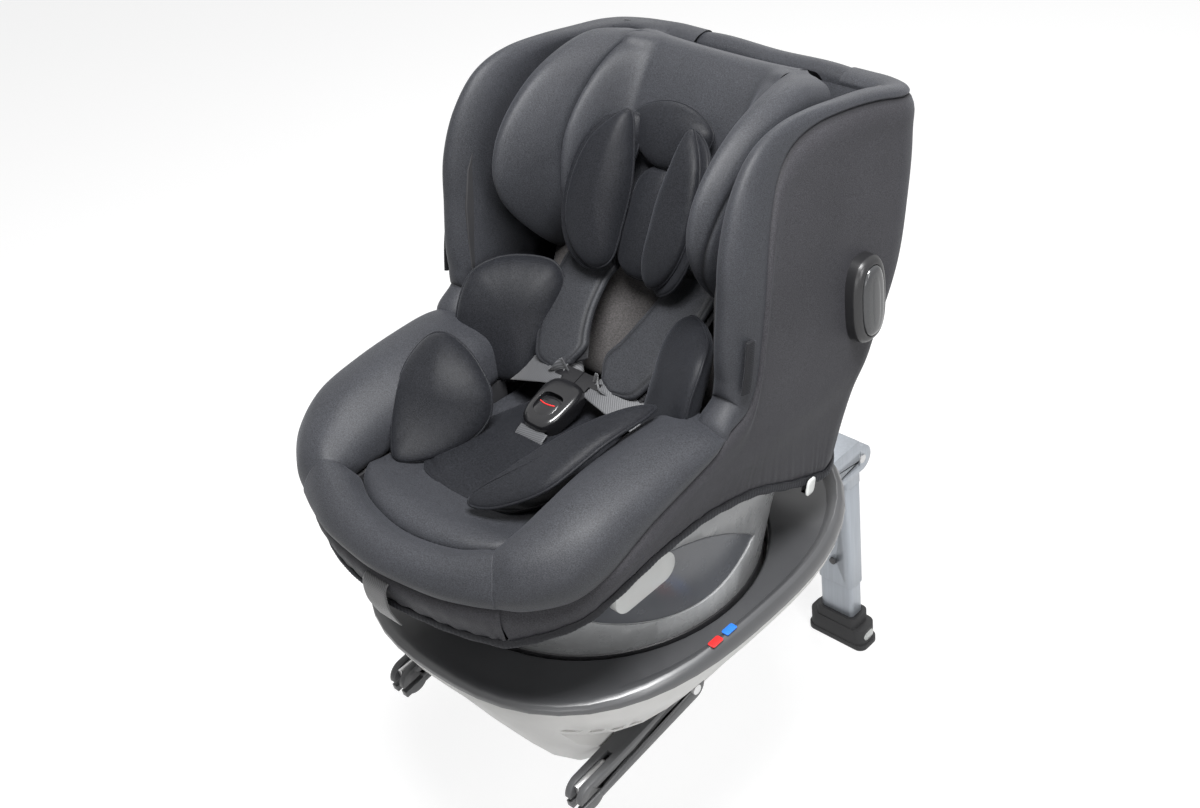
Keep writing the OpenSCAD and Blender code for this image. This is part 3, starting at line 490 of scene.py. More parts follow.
ADJUSTER = woven("adjuster_web", (0.012, 0.012, 0.013), (0.035, 0.035, 0.038), rough=0.4)
plastic("tub_plastic", (0.66, 0.655, 0.64), 0.45, relief=0.08)
plastic("tray_plastic", (0.05, 0.051, 0.054), 0.34, relief=0.15, specular=0.7)
plastic("bowl_plastic", (0.27, 0.275, 0.28), 0.28, relief=0.08)
plastic("turn_plastic", (0.02, 0.02, 0.022), 0.45)
plastic("shell_plastic", (0.022, 0.022, 0.024), 0.5, relief=0.2)
plastic("arm_plastic", (0.07, 0.071, 0.074), 0.42)
plastic("bracket_plastic", (0.05, 0.05, 0.053), 0.45)
plastic("foot_rubber", (0.015, 0.015, 0.016), 0.65, relief=0.3)
BUTTON = plastic("button_pale", (0.56, 0.57, 0.56), 0.4)
POD = plastic("pod_plastic", (0.012, 0.012, 0.013), 0.35)
POD_FACE = plastic("pod_face", (0.03, 0.031, 0.033), 0.22, relief=0.04, coat=0.3)
POCKET = plastic("pocket_plastic", (0.09, 0.095, 0.105), 0.26)
BUCKLE = plastic("buckle_plastic", (0.008, 0.008, 0.009), 0.2, relief=0.03, coat=0.25, specular=0.4)
RED = plastic("mark_red", (0.55, 0.02, 0.02), 0.4)
MARKS = two_marks("mark_colours", (0.02, 0.14, 0.55), (0.55, 0.02, 0.02), -47 * MM)
metal("steel", (0.6, 0.6, 0.6))
LEG = metal("leg_metal", (0.42, 0.45, 0.49), 0.38, 0.55)
clear("window_clear")


# Covers


HALF = [[205, 189], [250, 190], [290, 193], [320, 197], [350, 204], [375, 205.5], [400, 206.8],
        [480, 207.5], [560, 205.5], [600, 201.5], [630, 196], [645, 191], [658, 184]]
REAR = [[205, 213], [244, 228], [357, 280], [441, 329], [514, 349], [587, 363], [660, 366]]
ROUND = [[-258, 0.65], [-241, 0.77], [-222, 0.876], [-200, 0.962], [-175, 1.005], [-140, 1.022],
         [-119, 1.022], [-61, 1.01], [0, 1], [55, 0.997], [100, 0.992], [180, 0.98], [300, 0.97],
         [600, 0.97]]
CORNER = 65


def skin(run, z, out=0.0):
    """Outer face of the right cover: run is Y along the side, then goes on round the rear corner."""
    run, z, out = np.broadcast_arrays(*(np.asarray(v, float) for v in (run, z, out)))
    w, rear = smooth(HALF, z), smooth(REAR, z)
    s = run - (rear - CORNER)
    a = np.clip(s / CORNER, 0, math.pi / 2)
    past = np.maximum(s - CORNER * math.pi / 2, 0)
    w = w * smooth(ROUND, np.minimum(run, rear - CORNER))
    x = np.where(s <= 0, w, w - CORNER + CORNER * np.cos(a) - past)
    y = np.where(s <= 0, run, rear - CORNER + CORNER * np.sin(a))
    lean = (smooth(ROUND, run + 1) - smooth(ROUND, run - 1)) / 2 * smooth(HALF, z)
    nx = np.where(s <= 0, 1 / np.hypot(1, lean), np.cos(a))
    ny = np.where(s <= 0, -lean / np.hypot(1, lean), np.sin(a))
    return np.stack([x + out * nx, y + out * ny, z], -1)


# Seam along the edge of the wing: run, height, and reach of the roll that stands before it
WING_EDGE = [(10, 352, 5), (2, 378, 8), (0, 401, 12), (28, 411, 25), (44, 435, 34), (55, 470, 42),
             (66, 515, 45), (76, 560, 47), (90, 598, 43), (109, 626, 34), (138, 642, 21),
             (180, 646, 12), (230, 640, 8), (272, 631, 8), (308, 620, 8), (345, 610, 8), (380, 604, 8),
             (433, 603, 8)]
UPPER = [(-257, 331), (-241, 328), (-222, 330), (-200, 337), (-175, 351), (-119, 373), (-61, 383.5),
         (-20, 392)]
UPPER += [(run, z) for run, z, reach in WING_EDGE[2:]]
LOWER = [(-250, 284), (-236, 290), (-215, 298), (-191, 307), (-165, 318), (-118, 328), (-73, 326),
         (-33, 321), (-1, 312), (19, 306), (37, 300), (57, 291), (79, 279), (102, 266), (124, 255),
         (144, 246), (157, 240), (172, 236), (192, 235), (222, 237), (257, 240), (294, 243)]


def side_panel():
    """Outer panel of the right cover, tucked in at its seam and gathered at its hem."""
    n, rows = 330, 64
    up, low = curve(UPPER, n), curve(LOWER, n)
    v = np.linspace(0, 1, rows)[:, None, None]
    p = low[None] * (1 - v) + up[None] * v
    tall = np.linalg.norm(up - low, axis=1)[None] * np.ones((rows, 1))
    to_top = (1 - v[..., 0]) * tall
    to_low = v[..., 0] * tall
    out = 1.2 - 4.5 * np.exp(-to_top / 4.5) - 2.5 * np.exp(-to_low / 5)
    out += 2.2 * bell(to_top - 16, 13)
    gather = np.exp(-to_low / 22) * (1 - np.exp(-to_low / 3))
    run = np.arange(n)[None]
    out += gather * (0.3 * np.sin(run * 0.55 + 0.6 * np.sin(run * 0.13)) + 0.2 * np.sin(run * 0.91 + 1.3))
    face = skin(p[..., 0], p[..., 1], out)
    tuck = skin(up[:, 0], up[:, 1], -9.0)[None] + UP
    hem = skin(low[:, 0], low[:, 1], -4.0)[None] + np.array([0, 0, 3.0])
    inner = skin(p[..., 0], p[..., 1], -6.5)
    f = Form()
    # Painted shade darkens the face towards the tuck at the upper seam
    seam_shade = np.concatenate([np.zeros((1, n)), bell(to_top, 1.2), np.ones((1, n))])
    f.grid(np.concatenate([hem, face, tuck]), seam=seam_shade)
    f.grid(np.concatenate([tuck, inner[::-4], hem]))
    return f


DEPTH = [[340, 38], [480, 39.5], [560, 37.5], [600, 33.5], [630, 27], [646, 20], [658, 14]]
INSIDE = [(169, 40, 335), (169, 50, 338), (169, 70, 342), (169, 105, 346), (169, 140, 352),
          (169, 178, 368), (169, 212, 392), (169, 242, 422), (169, 260, 452), (169, 273, 482),
          (169, 286, 512), (169, 297, 542), (166, 308, 566), (152, 320, 582), (128, 328, 588),
          (98, 331, 588)]
LIP = [(0.05, -0.1), (0, 0.05), (0.02, 0.3), (0.1, 0.65), (0.27, 0.93), (0.48, 1), (0.7, 0.9),
       (0.88, 0.62), (0.98, 0.25), (1, -0.2), (1, -0.6)]


def wing_lining():
    """Padded lip and inner face of the right wing."""
    n = 300
    e = curve(WING_EDGE, n)
    at = skin(e[:, 0], e[:, 1])
    out = skin(e[:, 0], e[:, 1], 1.0) - at
    go = unit(np.gradient(at, axis=0))
    ahead = unit(np.cross(out, go))
    deep = smooth(DEPTH, e[:, 1])
    lip = curve(LIP, 48)
    reach = e[:, 2, None] * lip[None, :, 1]
    p = at[:, None] - out[:, None] * deep[:, None, None] * lip[None, :, :1]
    p = p + ahead[:, None] * reach[..., None]
    far = curve(INSIDE, n)
    last = p[:, -1]
    before = p[:, -1] - p[:, -3]
    k = np.linspace(0, 1, 16)[1:, None, None]
    inner = last[None] * (1 - k) + far[None] * k + before[None] * (k * (1 - k) ** 2) * 4
    p = np.concatenate([p, np.swapaxes(inner, 0, 1)], 1)
    # Painted shade in a dark line along the outer seam, where the lip starts
    seam_shade = np.zeros(p.shape[:2])
    seam_shade[:, :3] = 0.7
    f = Form().grid(p, seam=seam_shade)
    shell = p[:, [0, -1]]
    return f.grid(np.stack([shell[:, 0], shell[:, 0] * 0.6 + shell[:, 1] * 0.4 + out * -2, shell[:, 1]], 1))


for side, name in SIDES:
    panel, lining = side_panel(), wing_lining()
    if side < 0:
        panel, lining = panel.mirror(), lining.mirror()
    piece(f"cover_panel_{name}", panel, "seat", COVER, [f"side_cover_{name}"])
    piece(f"wing_lining_{name}", lining, "seat", LINING, [f"side_cover_{name}"])


RIM_TOP, RIM_HALF = 603, 124
RIM_DROP = [[-124, -4], [-100, 0], [0, 0], [100, 0], [124, -4]]
RIM_PROFILE = [(2, -60), (4, -25), (3.5, -8), (-2, 2), (-13, 6), (-23, 2), (-27, -8), (-28, -30),
               (-27, -75), (-29, -130)]


def back_rim():
    """Padded roll over the top of the back, between the wings."""
    x = np.linspace(-RIM_HALF, RIM_HALF, 61)
    prof = curve(RIM_PROFILE, 40)
    z = RIM_TOP + smooth(RIM_DROP, x)[:, None] + prof[None, :, 1]
    y = smooth(REAR, z) + prof[None, :, 0]
    return Form().grid(np.stack([np.repeat(x[:, None], 40, 1), y, z], -1))


piece("back_rim", back_rim(), "seat", LINING, ())


BOLSTER = [
    [(118, 0, 346), (114, -2, 372), (126, 2, 392), (160, 9, 402), (188, 10, 402), (200, 5, 400),
     (204, 3, 399), (188, 7, 384), (160, 6, 350)],
    [(113, -26, 346), (110, -26, 374), (124, -26, 399), (158, -25, 412), (190, -23, 412),
     (207, -23, 402), (208, -23, 391), (191, -23, 380), (161, -24, 347)],
    [(114, -64, 346), (110, -64, 374), (123, -64, 400), (157, -63, 416), (191, -61, 414),
     (209, -61, 401), (209, -61, 384), (192, -61, 372), (162, -62, 346)],
    [(116, -122, 346), (112, -122, 372), (124, -122, 398), (157, -121, 416), (192, -119, 412),
     (210, -119, 396), (210, -119, 374), (192, -119, 362), (162, -120, 346)],
    [(117, -166, 346), (113, -166, 368), (124, -169, 391), (155, -172, 410), (190, -176, 405),
     (207, -178, 385), (206, -175, 352), (188, -170, 346), (156, -169, 345)],
    [(117, -192, 346), (113, -193, 365), (122, -198, 384), (147, -207, 398), (175, -218, 391),
     (195, -219, 367), (191, -211, 336), (173, -202, 338), (147, -195, 344)],
    [(115, -208, 347), (111, -210, 363), (119, -218, 379), (137, -231, 388), (157, -244, 377),
     (166, -248, 351), (160, -241, 329), (148, -229, 334), (133, -216, 343)],
    [(114, -218, 348), (111, -222, 362), (115, -230, 374), (125, -242, 379), (133, -254, 367),
     (138, -262, 347), (135, -258, 331), (129, -246, 336), (120, -230, 343)],
]


# Points round a dense section, points round a drawn one, and the drawn point that the seam runs through
AROUND, DRAWN, SEAM_POINT = 88, 9, 6


def ring_seam(rows):
    """Weights of painted shade along the seam on the lower outer side of a roll."""
    ring = np.arange(AROUND)[None] / AROUND * DRAWN
    d = np.minimum(abs(ring - SEAM_POINT), DRAWN - abs(ring - SEAM_POINT))
    return np.repeat(bell(d, 0.12), rows, 0)


def bolster():
    """Right thigh bolster."""
    rows = 110
    return Form().loft(spread(BOLSTER, rows, AROUND), (3, 3), 5, ring_seam(rows))


for side, name in SIDES:
    f = bolster() if side > 0 else bolster().mirror()
    piece(f"bolster_soft_{name}", f, "seat", LINING, [f"thigh_bolster_{name}"])


FRONT = [
    [(112, -220, 350), (112, -223, 362), (116, -231, 374), (125, -242, 379), (134, -254, 367),
     (139, -263, 347), (136, -258, 331), (127, -244, 334), (116, -228, 342)],
    [(99, -219, 348), (99, -225, 361), (102, -237, 371), (107, -251, 374), (113, -265, 364),
     (116, -273, 346), (115, -268, 331), (110, -254, 334), (103, -235, 341)],
    [(73, -232, 348), (73, -238, 358), (75, -250, 366), (77, -264, 368), (80, -278, 360),
     (81, -285, 344), (80, -279, 330), (77, -265, 333), (75, -248, 340)],
    [(37, -242, 348), (37, -248, 356), (38, -259, 363), (39, -273, 365), (39, -286, 357),
     (39, -292, 343), (39, -285, 329.5), (38, -271, 332), (37, -255, 340)],
    [(0, -246, 348), (0, -252, 355), (0, -263, 362), (0, -276, 364), (0, -289, 356), (0, -295, 343),
     (0, -288, 329), (0, -274, 332), (0, -258, 340)],
]


def both_sides(half):
    """Row of points or sections from the right side to the left."""
    half = np.array(half, float)
    return np.concatenate([half, (half[:-1] * MIRROR)[::-1]])


def front_roll():
    """Padded roll across the front of the seat."""
    rows = 160
    return Form().loft(spread(both_sides(FRONT), rows, AROUND), (2.5, 2.5), 5, ring_seam(rows))


piece("front_roll", front_roll(), "seat", LINING, ["front_panel"])


SKIRT_TOP = [(138, -257, 331), (115, -269, 331), (80, -280, 330), (39, -286, 329.5), (0, -289, 329)]
SKIRT_LOW = [(133, -252, 283), (114, -261, 285), (80, -272, 287), (39, -279, 288), (0, -282, 288)]
SKIRT_TALL = 43


def front_skirt():
    """Panel that hangs below the front roll."""
    n, rows = 150, 28
    top, low = curve(both_sides(SKIRT_TOP), n), curve(both_sides(SKIRT_LOW), n)
    v = np.linspace(0, 1, rows)[:, None, None]
    p = low * (1 - v) + top * v
    side = unit(np.cross(np.gradient(top, axis=0), UP))
    side *= np.sign((side * (top - np.array([0, 0, 330]))).sum(1, keepdims=True))
    down = (1 - v[..., 0]) * SKIRT_TALL
    up = v[..., 0] * SKIRT_TALL
    out = 1.5 - 5 * np.exp(-down / 4.5) - 2.5 * np.exp(-up / 5) + 2 * bell(down - 16, 12)
    run = np.arange(n)[None]
    out = out + np.exp(-up / 20) * (0.8 * np.sin(run * 0.6 + 0.5 * np.sin(run * 0.17)))
    face = p + side[None] * out[..., None]
    rear = p - side[None] * 6
    # Painted shade along the seam at the top of the skirt, under the roll
    seam_shade = np.concatenate([bell(down, 1.2) * np.ones((1, n)), np.zeros((rows, n))])
    return Form().grid(np.concatenate([face, rear[::-1]]), close_rows=True, seam=seam_shade)


piece("front_skirt", front_skirt(), "seat", COVER, ["front_panel"])


def elastic_trim():
    """Gathered elastic along the lower edge of the whole cover."""
    low = curve(LOWER, 400)
    right = skin(low[:, 0], low[:, 1], 0.6) - np.array([0, 0, 3.0])
    front = curve(both_sides(SKIRT_LOW), 160)[2:-2] - np.array([0, 0, 3.0])
    path = np.concatenate([right[::-1], front, right * MIRROR])
    path = even(path[::4], 900)
    t = unit(np.gradient(path, axis=0))
    out = unit(np.cross(t, UP))
    out *= np.sign((out * (path - np.array([0, 0, 300]))).sum(1, keepdims=True))
    up = np.cross(out, t)
    up *= np.sign(up[:, 2:])
    a = turns(16)
    run = np.arange(900)
    rib = 1 + 0.2 * np.sin(run * math.pi / 1.5)
    thick = 2.0 * rib[:, None] * square_off(np.cos(a), 0.7)
    high = (4.6 + 0.5 * np.sin(run * 0.31))[:, None] * np.sin(a)
    p = path[:, None] + thick[..., None] * out[:, None] + high[..., None] * up[:, None]
    return Form().loft(p, (1, 1), 2)


piece("elastic_trim", elastic_trim(), "seat", ELASTIC, ())


PAD_HALF, PAD_REAR, PAD_THICK = 113, 46, 16
PAD_FRONT = [[-113, -196], [-105, -208], [-74, -231], [-37, -243], [0, -247], [37, -243], [74, -231],
             [105, -208], [113, -196]]
PAD_TOP = [[-250, 357], [-225, 359], [-190, 352], [-150, 343], [-100, 333], [-40, 325], [48, 321]]


def seat_pad():
    """Seat cushion between the bolsters."""
    u = np.linspace(-1, 1, 120)[:, None]
    v = np.linspace(0, 1, 150)[None]
    x = u * PAD_HALF
    first = smooth(PAD_FRONT, x)
    y = first * (1 - v) + PAD_REAR * v
    edge = np.minimum((1 - abs(u)) * PAD_HALF, y - first)
    z = smooth(PAD_TOP, y) - 9 * np.exp(-np.maximum(edge, 0) / 5)
    z = z + 2.0 * bell(edge - 22, 18) + 30 * np.maximum(abs(u) - 0.6, 0) ** 2
    p = np.stack(np.broadcast_arrays(x, y, z), -1)
    under = p - PAD_THICK * UP
    # Painted shade where the pad's edge sinks in
    return walls(Form().grid(p, seam=bell(edge, 1.5)).grid(under[:, ::-1]), p, under)


piece("seat_pad_soft", seat_pad(), "seat", LINING, ["seat_pad"])


# Newborn cushions


def with_piping(form, rim, radius=1.6):
    """The form with a round cord sewn along its rim."""
    path = even(rim, 160, True)
    return add(form, tube(np.concatenate([path, path[:1]]), radius, 8, ends=False))


BASE_RIM = [(0, -177, 347), (34, -174, 347), (64, -163, 348), (82, -130, 346), (80, -80, 340),
            (70, -20, 334), (50, 35, 331), (0, 44, 330), (-50, 35, 331), (-70, -20, 334),
            (-80, -80, 340), (-82, -130, 346), (-64, -163, 348), (-34, -174, 347)]
BASE_SEAM = curve([(-72, -150, 352), (-40, -163, 354), (0, -166, 355), (40, -163, 354), (72, -150, 352)], 40)
f = pillow(BASE_RIM, (0, -2, 17), (0, 0, -6), around=160, rings=26, groove=[(BASE_SEAM, 2.5, 3)])
f = with_piping(f, BASE_RIM)
piece("insert_base_soft", f, "seat", INSERT, ["insert_base"])

# The left leg cushion leans on its bolster, the right one has tipped inward
LEG_RIM = {
    "right": [(34, -190, 367), (43, -177, 376), (60, -136, 391), (80, -93, 404), (100, -57, 411),
              (118, -30, 414), (132, -20, 416), (137, -40, 417), (131, -92, 415), (112, -154, 393),
              (72, -181, 371), (45, -192, 365)],
    "left": [(-88, -177, 352), (-106, -168, 364), (-126, -140, 390), (-138, -108, 414),
             (-136, -76, 430), (-118, -64, 434), (-92, -62, 424), (-68, -66, 408), (-52, -72, 388),
             (-48, -84, 366), (-52, -110, 352), (-66, -150, 348)],
}
LEG_SWELL = {"right": ((-4, -3, 12), (3, 2, -7)), "left": ((9, -13, 10), (-4, 6, -5))}
for name, rim in LEG_RIM.items():
    f = with_piping(pillow(rim, *LEG_SWELL[name], rings=26, full=0.42), rim)
    piece(f"insert_leg_soft_{name}", f, "seat", INSERT, [f"insert_leg_{name}"])

BODY_RIM = [(161, 14, 98), (164, 50, 104), (162, 84, 97), (148, 105, 78), (122, 116, 58),
            (96, 116, 44), (82, 98, 38), (81, 64, 41), (83, 24, 49), (90, -10, 59), (120, -20, 72),
            (148, -6, 87)]
for side, name in SIDES:
    rim = np.array([back(x * side, s, n) for x, s, n in BODY_RIM])
    f = pillow(rim, off_back(-14 * side, 0, 16), off_back(6 * side, 0, -24), rings=26, full=0.45)
    f = with_piping(f, rim)
    piece(f"insert_body_soft_{name}", f, "seat", INSERT, [f"insert_body_{name}"])


REST_HALF, REST_LOW, REST_TALL, REST_SEAM = 140, 6, 182, 74


def back_pad():
    """Backrest cushion behind the harness."""
    u = np.linspace(-1, 1, 110)[:, None]
    v = np.linspace(0, 1, 90)[None]
    x = u * REST_HALF + v * 0
    s = REST_LOW + REST_TALL * v + u * 0
    edge = np.minimum(s - REST_LOW, REST_LOW + REST_TALL - s)
    edge = np.minimum((1 - abs(u)) * REST_HALF, edge)
    n = -4 + 9 * abs(u) ** 3 - 8 * np.exp(-np.maximum(edge, 0) / 7)
    n = n + 1.2 * bell(abs(x) - 62, 12) - 3 * bell(abs(x) - REST_SEAM, 3)
    p, q = back(x, s, n), back(x, s, n - 20)
    # Painted shade in the grooves of the two seams
    return walls(Form().grid(p, seam=bell(abs(x) - REST_SEAM, 1.2)).grid(q[::-1]), p, q)


piece("back_pad_soft", back_pad(), "seat", BACKREST, ["back_pad"])


# Headrest


CREST = [(372, -14), (364, 28), (343, 64), (310, 99), (272, 122), (234, 133), (200, 129), (175, 112),
         (155, 84), (138, 45), (128, 5), (130, -33)]
CREASE = [(377, -30), (373, -8), (356, 17), (332, 39), (304, 55), (277, 65), (252, 69), (233, 67),
          (210, 60), (189, 50), (168, 28), (152, -30)]
# Sections across a wing: X, share from crease to crest, and pull towards the middle of the wing
ACROSS = ((99, 0, 0.3), (99, 0, 0.1), (101, 0, 0), (114, 0.58, 0), (129, 1, 0), (144, 0.98, 0.05),
          (152, 0.94, 0.16), (155, 0.9, 0.4), (154, 0.9, 0.8))
# Second seam: where it crosses the sections, along the wing
OUTER_SEAM = [[0, 6.4], [0.3, 6.2], [0.5, 5.6], [0.62, 4.9], [0.72, 4.4], [0.85, 4.3], [1, 4.8]]


WING_MID = np.array([250, 10])
WING_REAR = -34


def head_wing():
    """Right wing of the headrest, with its two seams."""
    n, cols = 170, 96
    crest, crease = curve(CREST, n), curve(CREASE, n)
    rows = []
    for x, share, pull in ACROSS:
        q = crease * (1 - share) + crest * share
        q = q + (WING_MID - q) * pull
        rows.append(back(x, q[:, 0], np.maximum(q[:, 1], WING_REAR)))
    p = np.swapaxes(curve(np.array(rows), cols), 0, 1)
    section = np.linspace(0, 8, cols)[None]
    crease_at = abs(section - 2) * np.ones((n, 1)) * 12
    seam_at = abs(section - smooth(OUTER_SEAM, np.linspace(0, 1, n))[:, None]) * 12
    nn = normals(p)
    sign = np.sign((nn * (p - back(130, 250, 0))).sum(-1, keepdims=True))
    p = p - nn * sign * (3 * bell(crease_at, 2) + 2.2 * bell(seam_at, 2.2))[..., None]
    # Painted shade in the crease and seam grooves
    return Form().grid(p, seam=np.maximum(bell(crease_at, 0.9), bell(seam_at, 0.9)))


HEAD_HALF = 104
HEAD_PROFILE = [(150, -30), (150, -4), (162, 8), (190, 11), (250, 12), (300, 11), (338, 6), (360, -2),
                (370, -10), (374, -22), (374, -45), (368, -60)]


def head_centre():
    """Middle of the headrest, which rises at its sides to the wings' seams."""
    x = np.linspace(-HEAD_HALF, HEAD_HALF, 110)[:, None]
    s, n = curve(HEAD_PROFILE, 110).T[:, None]
    s = s + 3 * (abs(x) / HEAD_HALF) ** 2.5 * (s > 300)
    bevel = np.clip((abs(x) - 66) / 36, 0, 1)
    bevel = (bevel * bevel * (3 - 2 * bevel)) ** 1.3
    rise = smooth(sorted(CREASE), s) - n
    return Form().grid(back(x, s, n + np.maximum(rise, 0) * bevel * (n > -20)))


def head_back():
    """Flat rear of the headrest."""
    x = np.linspace(-164, 164, 60)[:, None]
    s = np.linspace(138, 371, 40)[None]
    return Form().grid(back(x, s, -33.5))


head = add(add(add(head_centre(), head_wing()), head_wing().mirror()), head_back())
piece("headrest_soft", head, "headrest", LINING, ["headrest_pad"])


def leaf(points, n, tilt, front, rear):
    """Leaf of the head cushion, given by its outline on the back."""
    rim = np.array([back(x, s, n + tilt * abs(x)) for x, s in points])
    f = pillow(rim, off_back(0, 0, front), off_back(0, 0, -rear), rings=24, full=0.45)
    return with_piping(f, rim, 1.3)


OUTER_LEAF = [(36, 292), (68, 281), (86, 252), (92, 210), (88, 168), (72, 136), (44, 124), (30, 150),
              (36, 210), (30, 262)]
INNER_LEAF = [(41, 294), (60, 279), (75, 253), (82, 214), (79, 172), (63, 141), (40, 128), (23, 142),
              (21, 184), (22, 222), (29, 260)]
TOP_LEAF = [(-52, 294), (-28, 309), (0, 314), (28, 309), (52, 294), (47, 270), (24, 251), (0, 245),
            (-24, 251), (-47, 270)]
NECK_LEAF = [(-27, 228), (-14, 244), (0, 248), (14, 244), (27, 228), (32, 190), (32, 152), (20, 133),
             (0, 128), (-20, 133), (-32, 152), (-32, 190)]
hug = leaf(NECK_LEAF, 23, 0, 18, 9)
add(hug, leaf(TOP_LEAF, 26, 0, 18, 12))
for side, _ in SIDES:
    add(hug, leaf([(x * side, s) for x, s in OUTER_LEAF], 24, 0.4, 12, 16))
    add(hug, leaf([(x * side, s) for x, s in INNER_LEAF], 34, 0.36, 20, 14))
piece("head_hugger_soft", hug, "headrest", INSERT, ["head_hugger"])


# Harness


PAD_LINE = [(66, 142, 8), (69, 120, 22), (64, 88, 39), (55, 58, 52), (45, 38, 60), (36, 22, 66)]
STRAP_LINE = [(62, 192, -6), (64, 162, -3), (66, 142, 2), (69, 120, 15), (64, 88, 32), (55, 58, 45),
              (45, 38, 53), (35, 23, 60), (24, 17, 67), (16, 18, 71)]


def pad_frame(side, rows, shift=0, sink=0):
    """Path of a shoulder pad, with its sideways and outward directions."""
    path = even(np.array([back((x + shift) * side, s, n - sink) for x, s, n in PAD_LINE]), rows)
    t = unit(np.gradient(path, axis=0))
    wide = unit(np.array([1.0, 0.35 * side, 0.25 * side]))
    wide = unit(wide - (t @ wide)[:, None] * t)
    return path, wide, np.cross(wide, t)


def shoulder_pad(side):
    """Padded sleeve on a shoulder strap, with a stitched border."""
    rows = 90
    path, wide, out = pad_frame(side, rows)
    out *= np.sign(out[:, 2:])
    run = np.linspace(0, 1, rows)
    half = 33 * (1 - np.clip(run / 0.14 - 6.14, 0, 1) ** 2 * 0.5)
    half *= 1 - np.maximum(0.06 - run, 0) / 0.06 * 0.25
    a = turns(64)
    cx, cy = square_off(np.cos(a), 0.6), square_off(np.sin(a), 0.7)
    high = np.where(cy > 0, 7, 4) * cy
    p = path[:, None] + wide[:, None] * (half[:, None] * cx)[..., None] + out[:, None] * high[None, :, None]
    groove = bell(abs(abs(cx) * half[:, None] - half[:, None] + 5.5), 1.3) * (cy > 0)
    p = p - out[:, None] * (1.1 * groove)[..., None]
    # Painted shade in the groove of the stitched border
    return Form().loft(p, (5, 5), 5, groove * 0.6)


def pad_backing(side):
    """Ribbed grip under a shoulder pad, a little wider than it."""
    rows = 150
    path, wide, out = pad_frame(side, rows, 4, 6)
    a = turns(24)
    rib = 1 + 0.35 * np.sin(np.arange(rows) * 1.9)[:, None]
    across = 34 * square_off(np.cos(a), 0.5)
    p = path[:, None] + wide[:, None] * across[None, :, None]
    p = p + out[:, None] * (2.2 * rib * np.sin(a))[..., None]
    return Form().loft(p, (3, 3), 3)


for side, name in SIDES:
    nodes = [f"shoulder_pad_{name}"]
    piece(f"shoulder_pad_soft_{name}", shoulder_pad(side), "seat", PADDING, nodes)
    piece(f"shoulder_pad_grip_{name}", pad_backing(side), "seat", ELASTIC, nodes)


def shoulder_strap(side):
    """Webbing of one shoulder, from the back down to the buckle."""
    line = np.array([back(x * side, s, n) for x, s, n in STRAP_LINE])
    return ribbon(line, (1.0, 0.2 * side, 0.15 * side), 38, 1.6, 90)


def lap_strap(mirror):
    """Webbing over one thigh."""
    return ribbon(np.array(LAP) * mirror, np.array([0.15, 0.9, 0.35]) * mirror, 34, 1.6, 60)


LAP = [(116, 20, 344), (96, 8, 358), (68, 2, 371), (40, 2, 380), (22, 5, 383)]
CROTCH = [(0, -78, 332), (0, -78, 349), (0, -75, 356), (0, -66, 361)]
ADJUSTER_LINE = [(0, -276, 321.5), (0, -286, 322), (0, -293, 319), (0, -296, 309), (0, -295, 292),
                 (0, -290, 276), (0, -286, 266)]
ACROSS_SEAT = (1.0, 0.0, 0.0)
straps = add(shoulder_strap(1), shoulder_strap(-1))
piece("shoulder_webbing", straps, "seat", WEBBING, ["shoulder_straps"])
piece("lap_webbing", add(lap_strap(1), lap_strap(MIRROR)), "seat", WEBBING, ["lap_straps"])
strap = ribbon(CROTCH, ACROSS_SEAT, 38, 1.8, 40)
piece("crotch_webbing", strap, "seat", WEBBING, ["crotch_strap"])
strap = ribbon(ADJUSTER_LINE, ACROSS_SEAT, 34, 1.8, 60)
piece("adjuster_webbing", strap, "seat", ADJUSTER, ["adjuster_strap"])


# Buckle

BUCKLE_AT = np.array([0.0, -36.0, 371.0])
BUCKLE_TILT = math.radians(16)


def on_buckle(p):
    """From the buckle's own frame, where Y runs up the buckle, to the seat's."""
    c, s = math.cos(BUCKLE_TILT), math.sin(BUCKLE_TILT)
    return p @ np.array([[1, 0, 0], [0, c, s], [0, -s, c]]) + BUCKLE_AT


def rounded(w, h, power, around=96):
    """Outline of a soft rectangle."""
    t = turns(around)
    c, s = np.cos(t), np.sin(t)
    r = (abs(c * 2 / w) ** power + abs(s * 2 / h) ** power) ** (-1 / power)
    return np.stack([r * c, r * s], 1)


def stacked(levels, w, h, power, shift=(0, 0)):
    """Closed stack of soft rectangles: each level is inset and height."""
    rings = []
    for inset, z in levels:
        o = rounded(w - 2 * inset, h - 2 * inset, power) + np.array(shift)
        rings.append(np.concatenate([o, np.full((len(o), 1), z)], 1))
    return np.array(rings)


CASE = [(8, -11), (2.5, -10.2), (0.4, -7.5), (0, -3), (0.3, 3), (1.4, 6.8), (4, 9.2), (8, 10.4),
        (10.5, 10.6), (11.4, 9.6), (11.7, 3)]
PRESS = [(3, 2), (0.6, 3), (0.3, 9.6), (1.2, 10.8), (3, 11.4), (7, 11.8)]


def buckle_case():
    """Case of the buckle, with a well for its button."""
    p = stacked(CASE, 54, 66, 3.2)
    ease = np.clip((p[..., 1] + 33) / 66, 0, 1)
    p[..., 0] *= 0.86 + 0.14 * ease
    p[-3:, :, 1] = p[-3:, :, 1] * 0.66 - 4
    return Form().loft(on_buckle(curve(p, 60)), (0.5, 0.2), 2)


def buckle_press():
    """Button of the buckle, slightly arched."""
    p = curve(stacked(PRESS, 30, 26, 4, (0, -8)), 40)
    p[..., 2] -= 0.012 * p[..., 0] ** 2 * (p[..., 2] > 8)
    return Form().loft(on_buckle(p), (0.5, 0.3), 3)


